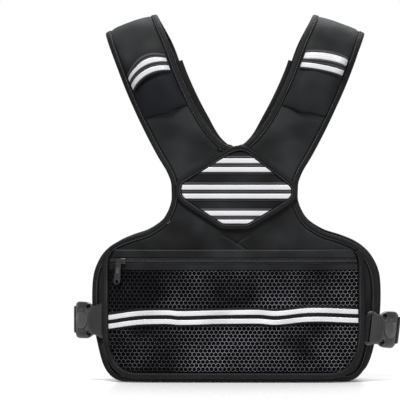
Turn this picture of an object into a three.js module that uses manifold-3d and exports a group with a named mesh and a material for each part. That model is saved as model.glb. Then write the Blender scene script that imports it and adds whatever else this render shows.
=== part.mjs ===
// A weighted vest: a padded front and back, wide straps over the shoulders, taped edges, a striped
// patch on the chest, a zipped net pocket below it and a side release buckle on each flank.
// Millimetres, +Z up, the front faces -Y. The origin lies between the shoulders, level with the
// highest point of the straps' inner faces, where shoulders or a hanger carry the vest.
import * as THREE from "three";
import { mergeVertices } from "three/addons/utils/BufferGeometryUtils.js";
import Module from "manifold-3d";

// Body
const HALF_WIDTH = 200; // centre line to the flank of a panel
const DROP = 512; // origin to the bottom hem
const HALF_DEPTH = 62; // centre of the hollow to a panel's inner face, at the middle
const SIDE_DEPTH = 38; // the same at the flank
const FLAT = 92; // a panel is flat this far out from its middle, then turns back
const PAD = 7; // padded cloth
const GAP = 0.3; // clearance between neighbours
const BACK_SWAY = 6; // the back panel hangs this far to one side

// Edge tape
const TAPE = 9; // width on the face
const PROUD = 0.6; // how far the tape stands off the pad
const ON_TOP = PAD + PROUD + GAP; // where a piece that crosses the tape starts

// Straps
const STRAP_LENGTH = 240; // shoulder crest to the waist, down the front
const SHOULDER = 55; // height of the bend over the shoulder
const BEND_LENGTH = 85; // length of half that bend
const STRAP_CROWN = { left: 4, right: 2.5 };
const TAIL_END = 150; // how far down the back the strap's hook and loop tail reaches
const LEG_TOP = 62; // how far below the crest the back panel's legs end
const TAIL_SPREAD = 3; // the tail's inner edge lies this far inwards of the front strap's
const LEG_SPREAD = 8; // and the back leg's this far

// Reflective ribbon: dark, with two light stripes
const RIBBON = 26;
const RIBBON_THICK = 1;
const STRIPE = 6.8;
const STRIPE_THICK = 0.5;
const STRIPE_PITCH = 12.4;

// Shoulder pouches; places are millimetres below the crest, a lean drops the inner end
const POUCH_WALL = 1.4;
const POUCH_SEAM = 1; // the wall pressed flat in the seam at the foot
const POUCH_BULGE = 10;
const POUCH = {
  left: { ribbon: 57, arch: 10.5, lean: -11, foot: 127, footLean: 2 },
  right: { ribbon: 42.5, arch: 2.5, lean: 8, foot: 125.5, footLean: 5 },
};
const KEEPER = 4; // how far the ribbon over the pouch's mouth stands off at its ends

// Chest patch
const PATCH = { shift: 2.4, over: 4.8, height: 119, half: 86.2, thick: 2.5, tape: 8, tapeThick: 4.5 };
const PATCH_RIBBONS = [28, 65.5, 102]; // middle of each ribbon below the patch's top

// Net pocket
const POCKET = { shift: -1.8, half: 182, height: 183, hem: 4, tapeThick: 4.6, cloth: 1.2 };
const POCKET_TOP = DROP - POCKET.hem - POCKET.height;
const POCKET_BULGE = 5;
const POCKET_SEAT = 0.6; // the cloth starts this far above the foot of the pocket's tape
const BAND_TOP = 12; // cloth above the zip
const ZIP = { width: 9, chain: 4.4, thick: 2 };
const BAND_BOTTOM = 8; // cloth below the zip
const BAND_EXTRA = 0.6; // the bands' cloth is folded, so it is this much thicker
const NET_HEM = 10; // the net is held flat this far in from its upper and lower edge
const POCKET_RIBBON = { down: 96, slope: -0.02 }; // its middle below the pocket's top
const SLIDER = { inset: 26.8, length: 12, width: 8.5, thick: 4 };
const PULLER = { length: 34, width: 8.8, thick: 1.8, eye: 2.4, lean: 5 };

// Side straps and buckles
const WEBBING = 38;
const WEBBING_THICK = 1.2;
const WEBBING_TUCK = 14; // how far the webbing runs in under the pocket
const BUCKLE_HALF = 26;
const BUCKLE_THICK = 9;
const BUCKLE_STAND = 2; // how far the buckle's bar stands off the panel
const BUCKLE_LIFT = 55; // how far in from a buckle's bar the pocket's cloth starts to rise to it
const BUCKLE_REACH = 34; // how far above and below a buckle that rise fades away
const BUCKLE = {
  left: { inset: 23.5, toe: 12, radius: 58, rise: 86, droop: 0, seat: 50 },
  right: { inset: 19, toe: 20, radius: 72, rise: 76, droop: 6.5, seat: 40 },
};
const BAR_THICK = 3.4; // thickness of the bars that the webbing runs round
const SLOT = { from: 3.2, to: 7.4, half: 20 };
const NOTCH = { at: 26, out: 22, radius: 5.5 };
const DISC = { at: 40.5, radius: 12.4, thick: 0.8 };
const SOCKET_LENGTH = 53.5;
const PLUG_LENGTH = 64; // from the start of the socket to the end of the plug
const CAVITY = { from: 18, half: 20, open: 5 };
const PRONG = { side: 15, wide: 6, middleWide: 7, short: 4, play: 1 };
const BOW = { out: 18, back: 24, rise: 4 }; // bend of the webbing between plug and back panel
const FOLD = { long: 12, short: 4, lean: 0.06 }; // the webbing's end behind the plug's bar

// Panel outline from the waist down, as shares of HALF_WIDTH and DROP
const PANEL_EDGE = [
  { at: 0.0, x: 0.446, down: 0.467 },
  { at: 0.06, x: 0.4475, down: 0.5 },
  { at: 0.12, x: 0.475, down: 0.532 },
  { at: 0.17, x: 0.525, down: 0.56 },
  { at: 0.22, x: 0.62, down: 0.5845 },
  { at: 0.28, x: 0.735, down: 0.6 },
  { at: 0.34, x: 0.83, down: 0.616 },
  { at: 0.4, x: 0.905, down: 0.6385 },
  { at: 0.46, x: 0.957, down: 0.669 },
  { at: 0.53, x: 0.99, down: 0.708 },
  { at: 0.61, x: 1.0, down: 0.764 },
  { at: 0.69, x: 0.992, down: 0.832 },
  { at: 0.77, x: 0.962, down: 0.896 },
  { at: 0.84, x: 0.922, down: 0.954 },
  { at: 0.9, x: 0.868, down: 0.986 },
  { at: 0.95, x: 0.79, down: 1.0 },
  { at: 1.0, x: 0.7, down: 1.0 },
];

// Strap edges from the crest to the waist. at is a share of STRAP_LENGTH down the strap, the x
// columns are shares of HALF_WIDTH and the down columns shares of DROP.
const STRAP_EDGES = [
  { at: 0.0, outerX: 0.91, outerDown: 0.053, innerX: 0.54, innerDown: 0.0 },
  { at: 0.167, outerX: 0.834, outerDown: 0.125, innerX: 0.458, innerDown: 0.071 },
  { at: 0.333, outerX: 0.762, outerDown: 0.198, innerX: 0.389, innerDown: 0.145 },
  { at: 0.5, outerX: 0.684, outerDown: 0.268, innerX: 0.308, innerDown: 0.216 },
  { at: 0.646, outerX: 0.61, outerDown: 0.328, innerX: 0.223, innerDown: 0.277 },
  { at: 0.771, outerX: 0.54, outerDown: 0.38, innerX: 0.137, innerDown: 0.321 },
  { at: 0.85, outerX: 0.488, outerDown: 0.414, innerX: 0.06, innerDown: 0.347 },
  { at: 0.9, outerX: 0.464, outerDown: 0.434, innerX: 0.0, innerDown: 0.357 },
  { at: 0.95, outerX: 0.45, outerDown: 0.451, innerX: 0.0, innerDown: 0.41 },
  { at: 1.0, outerX: 0.446, outerDown: 0.467, innerX: 0.0, innerDown: 0.467 },
];
const NECK_POINT = 0.9; // where the straps' inner edges meet, as a share of STRAP_LENGTH

// Patch outline, clockwise from its top, as shares of its half width and its height
const PATCH_EDGE = [
  { x: 0.071, down: 0.0 },
  { x: 0.161, down: 0.0095 },
  { x: 0.24, down: 0.036 },
  { x: 0.901, down: 0.4105 },
  { x: 0.9735, down: 0.463 },
  { x: 1.0, down: 0.5406 },
  { x: 0.9917, down: 0.618 },
  { x: 0.901, down: 0.6957 },
  { x: 0.27, down: 0.975 },
  { x: 0.188, down: 1.0 },
  { x: -0.2405, down: 1.0 },
  { x: -0.313, down: 0.9666 },
  { x: -0.8847, down: 0.6957 },
  { x: -0.9753, down: 0.63 },
  { x: -1.0, down: 0.5274 },
  { x: -0.9753, down: 0.4236 },
  { x: -0.8847, down: 0.3723 },
  { x: -0.17, down: 0.049 },
  { x: -0.04, down: 0.008 },
];

// Right half of the pocket's outline, as shares of its half width and its height
const POCKET_EDGE = [
  { at: 0.0, x: 0.962, down: 0.0 },
  { at: 0.05, x: 0.99, down: 0.05 },
  { at: 0.11, x: 1.0, down: 0.13 },
  { at: 0.2, x: 1.0, down: 0.28 },
  { at: 0.3, x: 1.0, down: 0.46 },
  { at: 0.4, x: 0.998, down: 0.63 },
  { at: 0.47, x: 0.99, down: 0.745 },
  { at: 0.55, x: 0.963, down: 0.845 },
  { at: 0.62, x: 0.918, down: 0.922 },
  { at: 0.69, x: 0.853, down: 0.974 },
  { at: 0.76, x: 0.775, down: 0.997 },
  { at: 0.83, x: 0.69, down: 1.0 },
  { at: 0.91, x: 0.5, down: 1.0 },
  { at: 1.0, x: 0.26, down: 1.0 },
];

// Buckle socket along its length: half width and thickness as shares of the buckle's
const SOCKET_ROWS = [
  { at: 0, half: 0.84, thick: 0.26 },
  { at: 0.05, half: 0.93, thick: 0.36 },
  { at: 0.17, half: 0.93, thick: 0.38 },
  { at: 0.26, half: 0.84, thick: 0.62 },
  { at: 0.37, half: 0.78, thick: 0.88 },
  { at: 0.47, half: 0.82, thick: 0.98 },
  { at: 0.58, half: 0.96, thick: 1.0 },
  { at: 0.76, half: 1.0, thick: 1.0 },
  { at: 0.93, half: 1.0, thick: 0.98 },
  { at: 1.0, half: 0.97, thick: 0.94 },
];

// The plug's frame from the socket's mouth to its bar: half width as a share of the buckle's, and
// thickness as a share of the buckle's up to the step at 0.4, then of the bar's
const PLUG_ROWS = [
  { at: 0.0, half: 0.95, thick: 0.9 },
  { at: 0.3, half: 0.92, thick: 0.75 },
  { at: 0.45, half: 0.88, thick: 1.0 },
  { at: 0.8, half: 0.86, thick: 1.0 },
  { at: 1.0, half: 0.8, thick: 0.8 },
];

const COLOURS = {
  pad: [0x1b1c1e, 0.85],
  tape: [0x232426, 0.9],
  ribbon: [0x202123, 0.8],
  stripe: [0xe9eaec, 0.55],
  net: [0x17181b, 0.9],
  zip: [0x26272a, 0.6],
  plastic: [0x1e1f20, 0.4],
  webbing: [0x18191a, 0.85],
};

const NORMAL_STEP = 0.5; // half the distance over which a surface's slope is taken
const EDGE_STEP = 0.005; // the same along an outline, as a share of it

const wasm = await Module();
wasm.setup();

const clamp = THREE.MathUtils.clamp;
const lerp = THREE.MathUtils.lerp;
const smooth = THREE.MathUtils.smoothstep;
const radians = THREE.MathUtils.degToRad;
const vest = new THREE.Group();

// Every column of a table at a place between its rows, as a smooth cubic through the rows.
function tableAt(rows, at) {
  const last = rows.length - 1;
  let k = 0;
  while (k < last - 1 && at > rows[k + 1].at) k += 1;
  const span = rows[k + 1].at - rows[k].at;
  const t = clamp((at - rows[k].at) / span, 0, 1);
  const slope = (i, name) => {
    const before = rows[Math.max(i - 1, 0)];
    const after = rows[Math.min(i + 1, last)];
    return ((after[name] - before[name]) / (after.at - before.at)) * span;
  };
  const value = (name) => {
    const [a, b] = [rows[k][name], rows[k + 1][name]];
    const [da, db] = [slope(k, name), slope(k + 1, name)];
    return a + t * (da + t * (3 * (b - a) - 2 * da - db + t * (2 * (a - b) + da + db)));
  };
  return Object.fromEntries(Object.keys(rows[k]).map((name) => [name, value(name)]));
}

// A closed body through a row of loops with equally many points; capped at its ends or joined round.
function loft(loops, ring = false) {
  const size = loops[0].length;
  const positions = loops.flat().flatMap((p) => [p.x, p.y, p.z]);
  const faces = [];
  const quad = (a, b, c, d) => faces.push(a, b, c, a, c, d);
  const steps = ring ? loops.length : loops.length - 1;
  for (let i = 0; i < steps; i += 1) {
    const here = i * size;
    const next = ((i + 1) % loops.length) * size;
    for (let j = 0; j < size; j += 1) {
      const k = (j + 1) % size;
      quad(here + j, here + k, next + k, next + j);
    }
  }
  if (!ring) {
    const end = (loops.length - 1) * size;
    for (let j = 0; j < size / 2 - 1; j += 1) {
      quad(j, size - 1 - j, size - 2 - j, j + 1);
      quad(end + j, end + j + 1, end + size - 2 - j, end + size - 1 - j);
    }
  }
  return facingOut(positions, faces);
}

// Turns the faces round where the body would be inside out.
function facingOut(positions, faces) {
  const corner = (i) => new THREE.Vector3().fromArray(positions, i * 3);
  let volume = 0;
  for (let i = 0; i < faces.length; i += 3) {
    volume += corner(faces[i]).dot(corner(faces[i + 1]).cross(corner(faces[i + 2])));
  }
  if (volume < 0) faces.reverse();
  const geometry = new THREE.BufferGeometry();
  geometry.setAttribute("position", new THREE.Float32BufferAttribute(positions, 3));
  geometry.setIndex(faces);
  return geometry;
}

// A sheet over a grid: pointAt(row, column, side) with side 0 on the inner and 1 on the outer face.
function sheet(rowCount, columnCount, pointAt) {
  const loops = [];
  for (let i = 0; i <= rowCount; i += 1) {
    const loop = [];
    for (let j = 0; j <= columnCount; j += 1) loop.push(pointAt(i / rowCount, j / columnCount, 1));
    for (let j = columnCount; j >= 0; j -= 1) loop.push(pointAt(i / rowCount, j / columnCount, 0));
    loops.push(loop);
  }
  return loft(loops);
}

// A point of a surface moved off it along the surface's normal. base(a, b) gives the surface.
function offSurface(base, a, b, lift, facing) {
  const alongA = base(a + NORMAL_STEP, b).sub(base(a - NORMAL_STEP, b));
  const alongB = base(a, b + NORMAL_STEP).sub(base(a, b - NORMAL_STEP));
  const normal = alongA.cross(alongB).normalize();
  if (normal.dot(facing) < 0) normal.negate();
  return base(a, b).addScaledVector(normal, lift);
}

const solidOf = (geometry) => {
  const bare = new THREE.BufferGeometry();
  bare.setAttribute("position", geometry.getAttribute("position"));
  bare.setIndex(geometry.getIndex());
  const merged = mergeVertices(bare, 1e-4);
  return new wasm.Manifold(
    new wasm.Mesh({
      numProp: 3,
      vertProperties: new Float32Array(merged.getAttribute("position").array),
      triVerts: new Uint32Array(merged.getIndex().array),
    }),
  );
};

const geometryOf = (solid) => {
  const mesh = solid.getMesh();
  const geometry = new THREE.BufferGeometry();
  geometry.setAttribute("position", new THREE.BufferAttribute(mesh.vertProperties, 3));
  geometry.setIndex(new THREE.BufferAttribute(mesh.triVerts, 1));
  return geometry;
};

function add(name, geometry, look) {
  const [color, roughness] = COLOURS[look];
  const material = new THREE.MeshStandardMaterial({ color, roughness, metalness: 0 });
  geometry.computeVertexNormals();
  const mesh = new THREE.Mesh(geometry, material);
  mesh.name = name;
  vest.add(mesh);
}

const NECK_DOWN = tableAt(STRAP_EDGES, NECK_POINT).innerDown * DROP;

// Half the depth of the hollow inside the vest.
function hollowDepth(x) {
  const turn = Math.max(Math.abs(x) - FLAT, 0) / (HALF_WIDTH - FLAT);
  return HALF_DEPTH - (HALF_DEPTH - SIDE_DEPTH) * turn ** 2;
}

// How far the back hangs to one side at a height.
const swayAt = (side, down) => (side > 0 ? BACK_SWAY * smooth(down, DROP * 0.54, DROP * 0.72) : 0);

// A point on a panel: side is -1 on the front and 1 on the back, down is below the origin.
function onPanel(side, x, down, lift) {
  const base = (a, b) => new THREE.Vector3(a + swayAt(side, b), side * hollowDepth(a), -b);
  return offSurface(base, x, down, lift, new THREE.Vector3(0, side, 0));
}

// A point of an outline's right half and the direction into the cloth there, at a share of the
// outline. The table's columns are shares of a width and of a height below its top.
function edgeAt(rows, width, height, top, at) {
  const place = (share) => {
    const row = tableAt(rows, share);
    return new THREE.Vector2(row.x * width, Math.min(top + row.down * height, top + height));
  };
  const after = place(Math.min(at + EDGE_STEP, 1));
  const run = after.sub(place(Math.max(at - EDGE_STEP, 0))).normalize();
  return { point: place(at), inward: new THREE.Vector2(-run.y, run.x) };
}

const panelEdge = (at) => edgeAt(PANEL_EDGE, HALF_WIDTH, DROP, 0, at);

// Where a strap's two edges lie at a place along it: along is 0 at the crest, minus down the front
// and plus down the back, in mm; spread moves the inner edge inwards on the back.
function strapRow(along, spread = 0) {
  const away = Math.abs(along);
  const bend = clamp(away / BEND_LENGTH, 0, 1) * (Math.PI / 2);
  const fall = away < BEND_LENGTH ? SHOULDER * (1 - Math.cos(bend)) : SHOULDER + away - BEND_LENGTH;
  const row = tableAt(STRAP_EDGES, fall / STRAP_LENGTH);
  const spreading = along > 0 ? spread * smooth(fall, 0, SHOULDER) : 0;
  const fading = 1 - smooth(fall, STRAP_LENGTH * 0.6, STRAP_LENGTH * NECK_POINT);
  return {
    outer: new THREE.Vector2(row.outerX * HALF_WIDTH, row.outerDown * DROP),
    inner: new THREE.Vector2(row.innerX * HALF_WIDTH - spreading * fading, row.innerDown * DROP),
    depth: Math.sign(along) * Math.sin(bend),
    fall,
  };
}

// Position along a strap of a place that far below its crest, on the front or the back.
function alongAt(fall, side) {
  if (fall >= SHOULDER) return side * (BEND_LENGTH + fall - SHOULDER);
  return (side * Math.acos(1 - fall / SHOULDER) * BEND_LENGTH) / (Math.PI / 2);
}

// A point on a strap: across runs from 0 at the outer edge to 1 at the inner edge.
function onStrap(hand, along, across, lift, spread = 0) {
  const mirror = hand === "left" ? -1 : 1;
  const base = (a, b) => {
    const row = strapRow(a, spread);
    const place = row.outer.clone().lerp(row.inner, b / STRAP_LENGTH);
    const x = mirror * place.x + swayAt(row.depth, place.y);
    return new THREE.Vector3(x, row.depth * hollowDepth(place.x), -place.y);
  };
  const { fall, depth } = strapRow(along, spread);
  const crown = STRAP_CROWN[hand] * (1 - (2 * across - 1) ** 2);
  const fading = 1 - smooth(fall, STRAP_LENGTH * 0.5, STRAP_LENGTH * 0.7) * (depth < 0 ? 1 : 0)
    - smooth(along, 0, alongAt(LEG_TOP - TAPE, 1));
  const facing = new THREE.Vector3(mirror * 0.35, depth, 1 - Math.abs(depth));
  return offSurface(base, along, across * STRAP_LENGTH, lift + crown * fading, facing);
}

// The share of a strap's row that an inset square to its edge takes.
function strapInset(along, inset, edge, spread = 0) {
  const row = strapRow(along, spread);
  const after = strapRow(along + NORMAL_STEP, spread)[edge];
  const run = after.sub(strapRow(along - NORMAL_STEP, spread)[edge]);
  const reach = row.inner.clone().sub(row.outer);
  const bent = Math.abs(along) < BEND_LENGTH;
  const square = bent ? 1 : Math.abs(run.normalize().cross(reach.clone().normalize()));
  return inset / (Math.max(square, 0.5) * reach.length());
}

// How far the strap stands off the hollow as it climbs over the back panel's leg.
function strapStand(along) {
  const clear = PAD + 2 * PROUD + GAP;
  return clear * smooth(along, BEND_LENGTH * 0.15, alongAt(LEG_TOP - TAPE, 1));
}

// Section of the edge tape, as inset from the edge and lift over the pad's inner face.
const tapeSection = (width, low, high) => [
  [width, low],
  [width * 0.22, low],
  [0, lerp(low, high, 0.3)],
  [0, lerp(low, high, 0.7)],
  [width * 0.22, high],
  [width, high],
];

// A tape through stations, each a function that places an inset and a lift.
function tape(stations, width = TAPE, low = -PROUD, high = PAD + PROUD, ring = false) {
  const section = tapeSection(width, low, high);
  return loft(
    stations.map((station) => section.map(([inset, lift]) => station(inset, lift))),
    ring,
  );
}

const steps = (from, to, count) => {
  return Array.from({ length: count + 1 }, (_, i) => lerp(from, to, i / count));
};

// Stations along a strap's edge, from one place along it to another.
function strapStations(hand, edge, places, standing, spread) {
  return places.map((along) => (inset, lift) => {
    const share = strapInset(along, inset, edge, spread);
    const across = edge === "outer" ? share : 1 - share;
    return onStrap(hand, along, across, lift + (standing ? strapStand(along) : 0), spread);
  });
}

// Stations along a panel's edge from its waist to the middle of its hem.
function panelStations(side, mirror, shares) {
  return shares.map((at) => {
    const { point, inward } = panelEdge(at);
    return (inset, lift) => {
      const x = point.x + inward.x * inset;
      return onPanel(side, mirror * x, point.y + inward.y * inset, lift);
    };
  });
}

const PANEL_SHARES = [0.06, 0.13, 0.19, 0.24, 0.3, 0.37, 0.44, 0.52, 0.62, 0.72, 0.8, 0.86, 0.91, 0.96];
const HEM_SHARES = [0.65, 0.52, 0.39, 0.2]; // of HALF_WIDTH
const OUTER_SHARES = [1, 0.94, 0.85, 0.77, 0.67, 0.56, 0.46, 0.35]; // of STRAP_LENGTH
const NECK_SHARES = [0.8625, 0.79, 0.69, 0.575, 0.4625, 0.35];
const PAD_SHARES = [0.9996, 0.95, 0.9, 0.8625, 0.79, 0.69, 0.575, 0.46, 0.355];
const BEND_PLACES = steps(-BEND_LENGTH, BEND_LENGTH, 10);
const TAIL_PLACES = steps(BEND_LENGTH, alongAt(TAIL_END, 1), 4).slice(1);
const placesAt = (shares, side) => shares.map((share) => alongAt(share * STRAP_LENGTH, side));

// Stations up a strap's edge to its end: the front's straps run on over the shoulders, the back's
// legs stop under their tails.
function strapRun(hand, edge, shares, side) {
  const front = side < 0;
  const end = front ? [...BEND_PLACES, ...TAIL_PLACES] : [alongAt(LEG_TOP, 1)];
  const places = [...placesAt(shares, side), ...end];
  return strapStations(hand, edge, places, front, front ? TAIL_SPREAD : LEG_SPREAD);
}

// The tape round the armholes and the hem.
function outerTape(side) {
  const half = (hand, mirror) => {
    const strap = strapRun(hand, "outer", OUTER_SHARES, side).reverse();
    const hem = HEM_SHARES.map((share) => (inset, lift) => {
      return onPanel(side, mirror * share * HALF_WIDTH, DROP - inset, lift);
    });
    return [...strap, ...panelStations(side, mirror, PANEL_SHARES), ...hem];
  };
  return tape([...half("left", -1), ...half("right", 1).reverse()]);
}

// The tape round the neck, down one strap to the point and up the other.
function neckTape(side) {
  const half = (hand) => strapRun(hand, "inner", NECK_SHARES, side).reverse();
  const middle = (inset, lift) => onPanel(side, 0, NECK_DOWN + inset, lift);
  return tape([...half("left"), middle, ...half("right").reverse()]);
}

// A strap's pad between its tapes. It narrows onto the centre line below the neck point.
function strapPad(hand, places, standing, spread) {
  const inset = TAPE + GAP;
  const mirror = hand === "left" ? -1 : 1;
  const columns = 4;
  const waist = tableAt(STRAP_EDGES, 1).outerDown * DROP - GAP / 2;
  const point = NECK_DOWN + inset * 1.15;
  const loops = places.map((along) => {
    const row = strapRow(along, spread);
    const share = row.fall / STRAP_LENGTH;
    const start = strapInset(along, inset, "outer", spread);
    const low = standing ? strapStand(along) : 0;
    const at = (part, lift) => {
      if (share < NECK_POINT - 0.02) {
        const end = 1 - strapInset(along, inset, "inner", spread);
        return onStrap(hand, along, lerp(start, end, part), low + lift, spread);
      }
      const outer = row.outer.clone().lerp(row.inner, start);
      const down = Math.max(row.inner.y, lerp(point, waist, (share - NECK_POINT) / (1 - NECK_POINT)));
      outer.y = Math.min(outer.y, waist);
      const place = outer.lerp(new THREE.Vector2(GAP / 2, Math.min(down, waist)), part);
      return onPanel(Math.sign(along), mirror * place.x, place.y, lift);
    };
    const loop = [];
    for (let k = 0; k <= columns; k += 1) loop.push(at(k / columns, PAD));
    for (let k = columns; k >= 0; k -= 1) loop.push(at(k / columns, 0));
    return loop;
  });
  return loft(loops);
}

// The front strap, from the waist over the shoulder to its tail on the back.
function frontStrap(hand) {
  const places = [...placesAt(PAD_SHARES, -1), ...BEND_PLACES, ...TAIL_PLACES];
  return strapPad(hand, places, true, TAIL_SPREAD);
}

// The back panel's leg, from the waist up to its end under the strap's tail.
function backLeg(hand) {
  return strapPad(hand, [...placesAt(PAD_SHARES, 1), alongAt(LEG_TOP, 1)], false, LEG_SPREAD);
}

// The lower body of a panel, from the waist to the hem between its tapes.
function lowerPad(side) {
  const top = tableAt(PANEL_EDGE, 0).down * DROP + GAP / 2;
  return sheetBetween([0, ...PANEL_SHARES].map((at) => {
    const { point, inward } = panelEdge(at);
    const half = point.x + inward.x * (TAPE + GAP);
    const down = clamp(point.y + inward.y * (TAPE + GAP), top, DROP - TAPE - GAP);
    return { left: -half, right: half, down };
  }), 14, (x, down, out) => onPanel(side, x, down, out * PAD));
}

// A sheet through rows that each run from left to right at a height. place(x, down, out) gives the
// inner face at out 0 and the outer face at out 1.
function sheetBetween(rows, columns, place) {
  return loft(rows.map((row) => {
    const loop = [];
    const x = (k) => lerp(row.left, row.right, k / columns);
    for (let k = 0; k <= columns; k += 1) loop.push(place(x(k), row.down, 1));
    for (let k = columns; k >= 0; k -= 1) loop.push(place(x(k), row.down, 0));
    return loop;
  }));
}

// Left and right end of a closed outline at a height.
function spanAt(outline, down) {
  const hits = outline.flatMap((a, i) => {
    const b = outline[(i + 1) % outline.length];
    if ((a.y - down) * (b.y - down) > 0 || a.y === b.y) return [];
    return [lerp(a.x, b.x, (down - a.y) / (b.y - a.y))];
  });
  return { left: Math.min(...hits), right: Math.max(...hits), down };
}

// A closed outline moved inwards, square to its sides.
function insetOutline(outline, inset) {
  return outline.map((point, i) => {
    const before = outline[(i + outline.length - 1) % outline.length];
    const after = outline[(i + 1) % outline.length];
    const one = point.clone().sub(before).normalize();
    const two = after.clone().sub(point).normalize();
    const half = new THREE.Vector2(-one.y - two.y, one.x + two.x).normalize();
    const square = Math.abs(half.x * -one.y + half.y * one.x);
    return point.clone().addScaledVector(half, inset / Math.max(square, 0.5));
  });
}

// Chest patch, whose top lies over the neck point
const PATCH_TOP = NECK_DOWN - PATCH.over;
const patchEdge = PATCH_EDGE.map((row) => {
  return new THREE.Vector2(PATCH.shift + row.x * PATCH.half, PATCH_TOP + row.down * PATCH.height);
});
const patchInner = insetOutline(patchEdge, PATCH.tape + GAP);

function patchTape() {
  const section = [[PATCH.tape, 0], [0, 0], [0, 0.55], [0.15, 0.88], [0.4, 1], [PATCH.tape, 1]];
  const loops = section.map(([inset, rise]) => {
    const ring = insetOutline(patchEdge, inset < 1 ? inset * PATCH.tape : inset);
    return ring.map((point) => onPanel(-1, point.x, point.y, ON_TOP + rise * PATCH.tapeThick));
  });
  const around = patchEdge.map((_, i) => loops.map((ring) => ring[i]));
  return loft(around, true);
}

// A band over the patch between two heights, trimmed by the patch's tape.
function patchBand(downs, low, thick, trim = 0) {
  const rows = downs.map((down) => {
    const span = spanAt(patchInner, down);
    return { left: span.left + trim, right: span.right - trim, down };
  });
  return sheetBetween(rows, 4, (x, down, out) => onPanel(-1, x, down, low + out * thick));
}

function addPatch() {
  const heights = patchInner.map((point) => point.y);
  const spread = steps(Math.min(...heights) + 0.5, Math.max(...heights) - 0.5, 9);
  const face = ON_TOP + PATCH.thick + GAP;
  add("patch", patchBand(spread, ON_TOP, PATCH.thick), "pad");
  add("patch_tape", patchTape(), "tape");
  PATCH_RIBBONS.forEach((below, i) => {
    const middle = PATCH_TOP + below;
    const top = Math.max(middle - RIBBON / 2, spread[0]);
    const foot = Math.min(middle + RIBBON / 2, spread[9]);
    const rows = [top, middle - RIBBON / 4, middle, middle + RIBBON / 4, foot];
    add(`patch_ribbon_${i + 1}`, patchBand(rows, face, RIBBON_THICK, GAP / 3), "ribbon");
    [-1, 1].forEach((way, k) => {
      const line = middle + (way * STRIPE_PITCH) / 2;
      const ends = [line - STRIPE / 2, Math.min(line + STRIPE / 2, spread[9])];
      const strip = patchBand(ends, face + RIBBON_THICK + GAP, STRIPE_THICK, 4 * GAP);
      add(`patch_stripe_${i * 2 + k + 1}`, strip, "stripe");
    });
  });
}

// Shoulder pouches. A ribbon arches over the mouth and the pouch bulges down to its seam.
const ribbonTop = (fit, across) => {
  return fit.ribbon + fit.lean * (across - 0.5) - fit.arch * (1 - (2 * across - 1) ** 2);
};

// Share of the strap's width between its tapes, from 0 at the outer tape to 1 at the inner tape.
function betweenTapes(hand, along, part) {
  const start = strapInset(along, TAPE + GAP, "outer");
  const end = 1 - strapInset(along, TAPE + GAP, "inner");
  return lerp(start, end, part);
}

// A place on the strap's front between its tapes: down is millimetres below the crest.
function onPouch(hand, part, down, lift) {
  const along = alongAt(down, -1);
  return onStrap(hand, along, betweenTapes(hand, along, part), lift);
}

function pouch(hand) {
  const fit = POUCH[hand];
  return sheet(7, 6, (row, part, out) => {
    const top = ribbonTop(fit, part) + RIBBON * 0.45;
    const foot = fit.foot + fit.footLean * (part - 0.5) + 2 * (1 - (2 * part - 1) ** 2);
    const side = 1 - Math.abs(2 * part - 1) ** 3;
    const swell = Math.sin(Math.PI * clamp(row * 0.72 + 0.28, 0, 1)) ** 0.8;
    const rise = GAP + (POUCH_BULGE - POUCH_WALL) * side * swell;
    const wall = row > 0.99 ? POUCH_SEAM : POUCH_WALL;
    return onPouch(hand, part, lerp(top, foot, row), PAD + GAP + rise + out * wall);
  });
}

// A band that arches over the pouch's mouth, from one share of the ribbon's width to another.
function pouchBand(hand, from, to, low, thick, trim) {
  const fit = POUCH[hand];
  return sheet(2, 8, (row, part, out) => {
    const place = lerp(trim, 1 - trim, part);
    const down = ribbonTop(fit, place) + RIBBON * lerp(from, to, row);
    const stand = KEEPER + fit.arch * 0.5 * (1 - (2 * place - 1) ** 2) + POUCH_BULGE * 0.35;
    const ends = 1 - Math.abs(2 * place - 1) ** 6;
    const lift = PAD + 3 * GAP + POUCH_WALL + stand * ends;
    return onPouch(hand, place, down, lift + low + out * thick);
  });
}

function addPouches() {
  ["left", "right"].forEach((hand) => {
    add(`pouch_${hand}`, pouch(hand), "pad");
    add(`shoulder_ribbon_${hand}`, pouchBand(hand, 0, 1, 0, RIBBON_THICK, 0.01), "ribbon");
    [-1, 1].forEach((way, k) => {
      const middle = 0.5 + (way * STRIPE_PITCH) / 2 / RIBBON;
      const half = STRIPE / 2 / RIBBON;
      const low = RIBBON_THICK + GAP * 1.5;
      const strip = pouchBand(hand, middle - half, middle + half, low, STRIPE_THICK, 0.01);
      add(`shoulder_stripe_${hand}_${k + 1}`, strip, "stripe");
    });
  });
}

// How far the pocket's cloth stands off the panel: it bulges, and lifts where webbing runs in.
function pocketRise(x, down) {
  const across = clamp(Math.abs(x - POCKET.shift) / POCKET.half, 0, 1);
  const fall = clamp((down - POCKET_TOP) / POCKET.height, 0, 1);
  const bulge = POCKET_BULGE * (1 - across ** 4) * Math.sin(Math.PI * fall) ** 0.7;
  const lifts = Object.entries(BUCKLE).map(([hand, fit]) => {
    const start = HALF_WIDTH - fit.inset;
    const out = hand === "left" ? -x : x;
    const near = smooth(out, start - BUCKLE_LIFT, start - WEBBING_TUCK - BUCKLE_HALF / 4);
    const away = Math.abs(down - (DROP - fit.rise));
    return near * (1 - smooth(away, BUCKLE_HALF, BUCKLE_HALF + BUCKLE_REACH)) * POCKET_LIFT;
  });
  return bulge + Math.max(...lifts);
}

const BAR_STANDOFF = BAR_THICK / 2 + GAP + WEBBING_THICK / 2;
const POCKET_LIFT = BUCKLE_STAND + 2 * BAR_STANDOFF + WEBBING_THICK + 4 * GAP;

// A place on the pocket's cloth, which rises straight to the front so that its outline stays.
function onPocket(x, down, lift) {
  return onPanel(-1, x, down, ON_TOP + lift).add(new THREE.Vector3(0, -pocketRise(x, down), 0));
}

const pocketEdge = (at) => edgeAt(POCKET_EDGE, POCKET.half, POCKET.height, POCKET_TOP, at);

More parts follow.
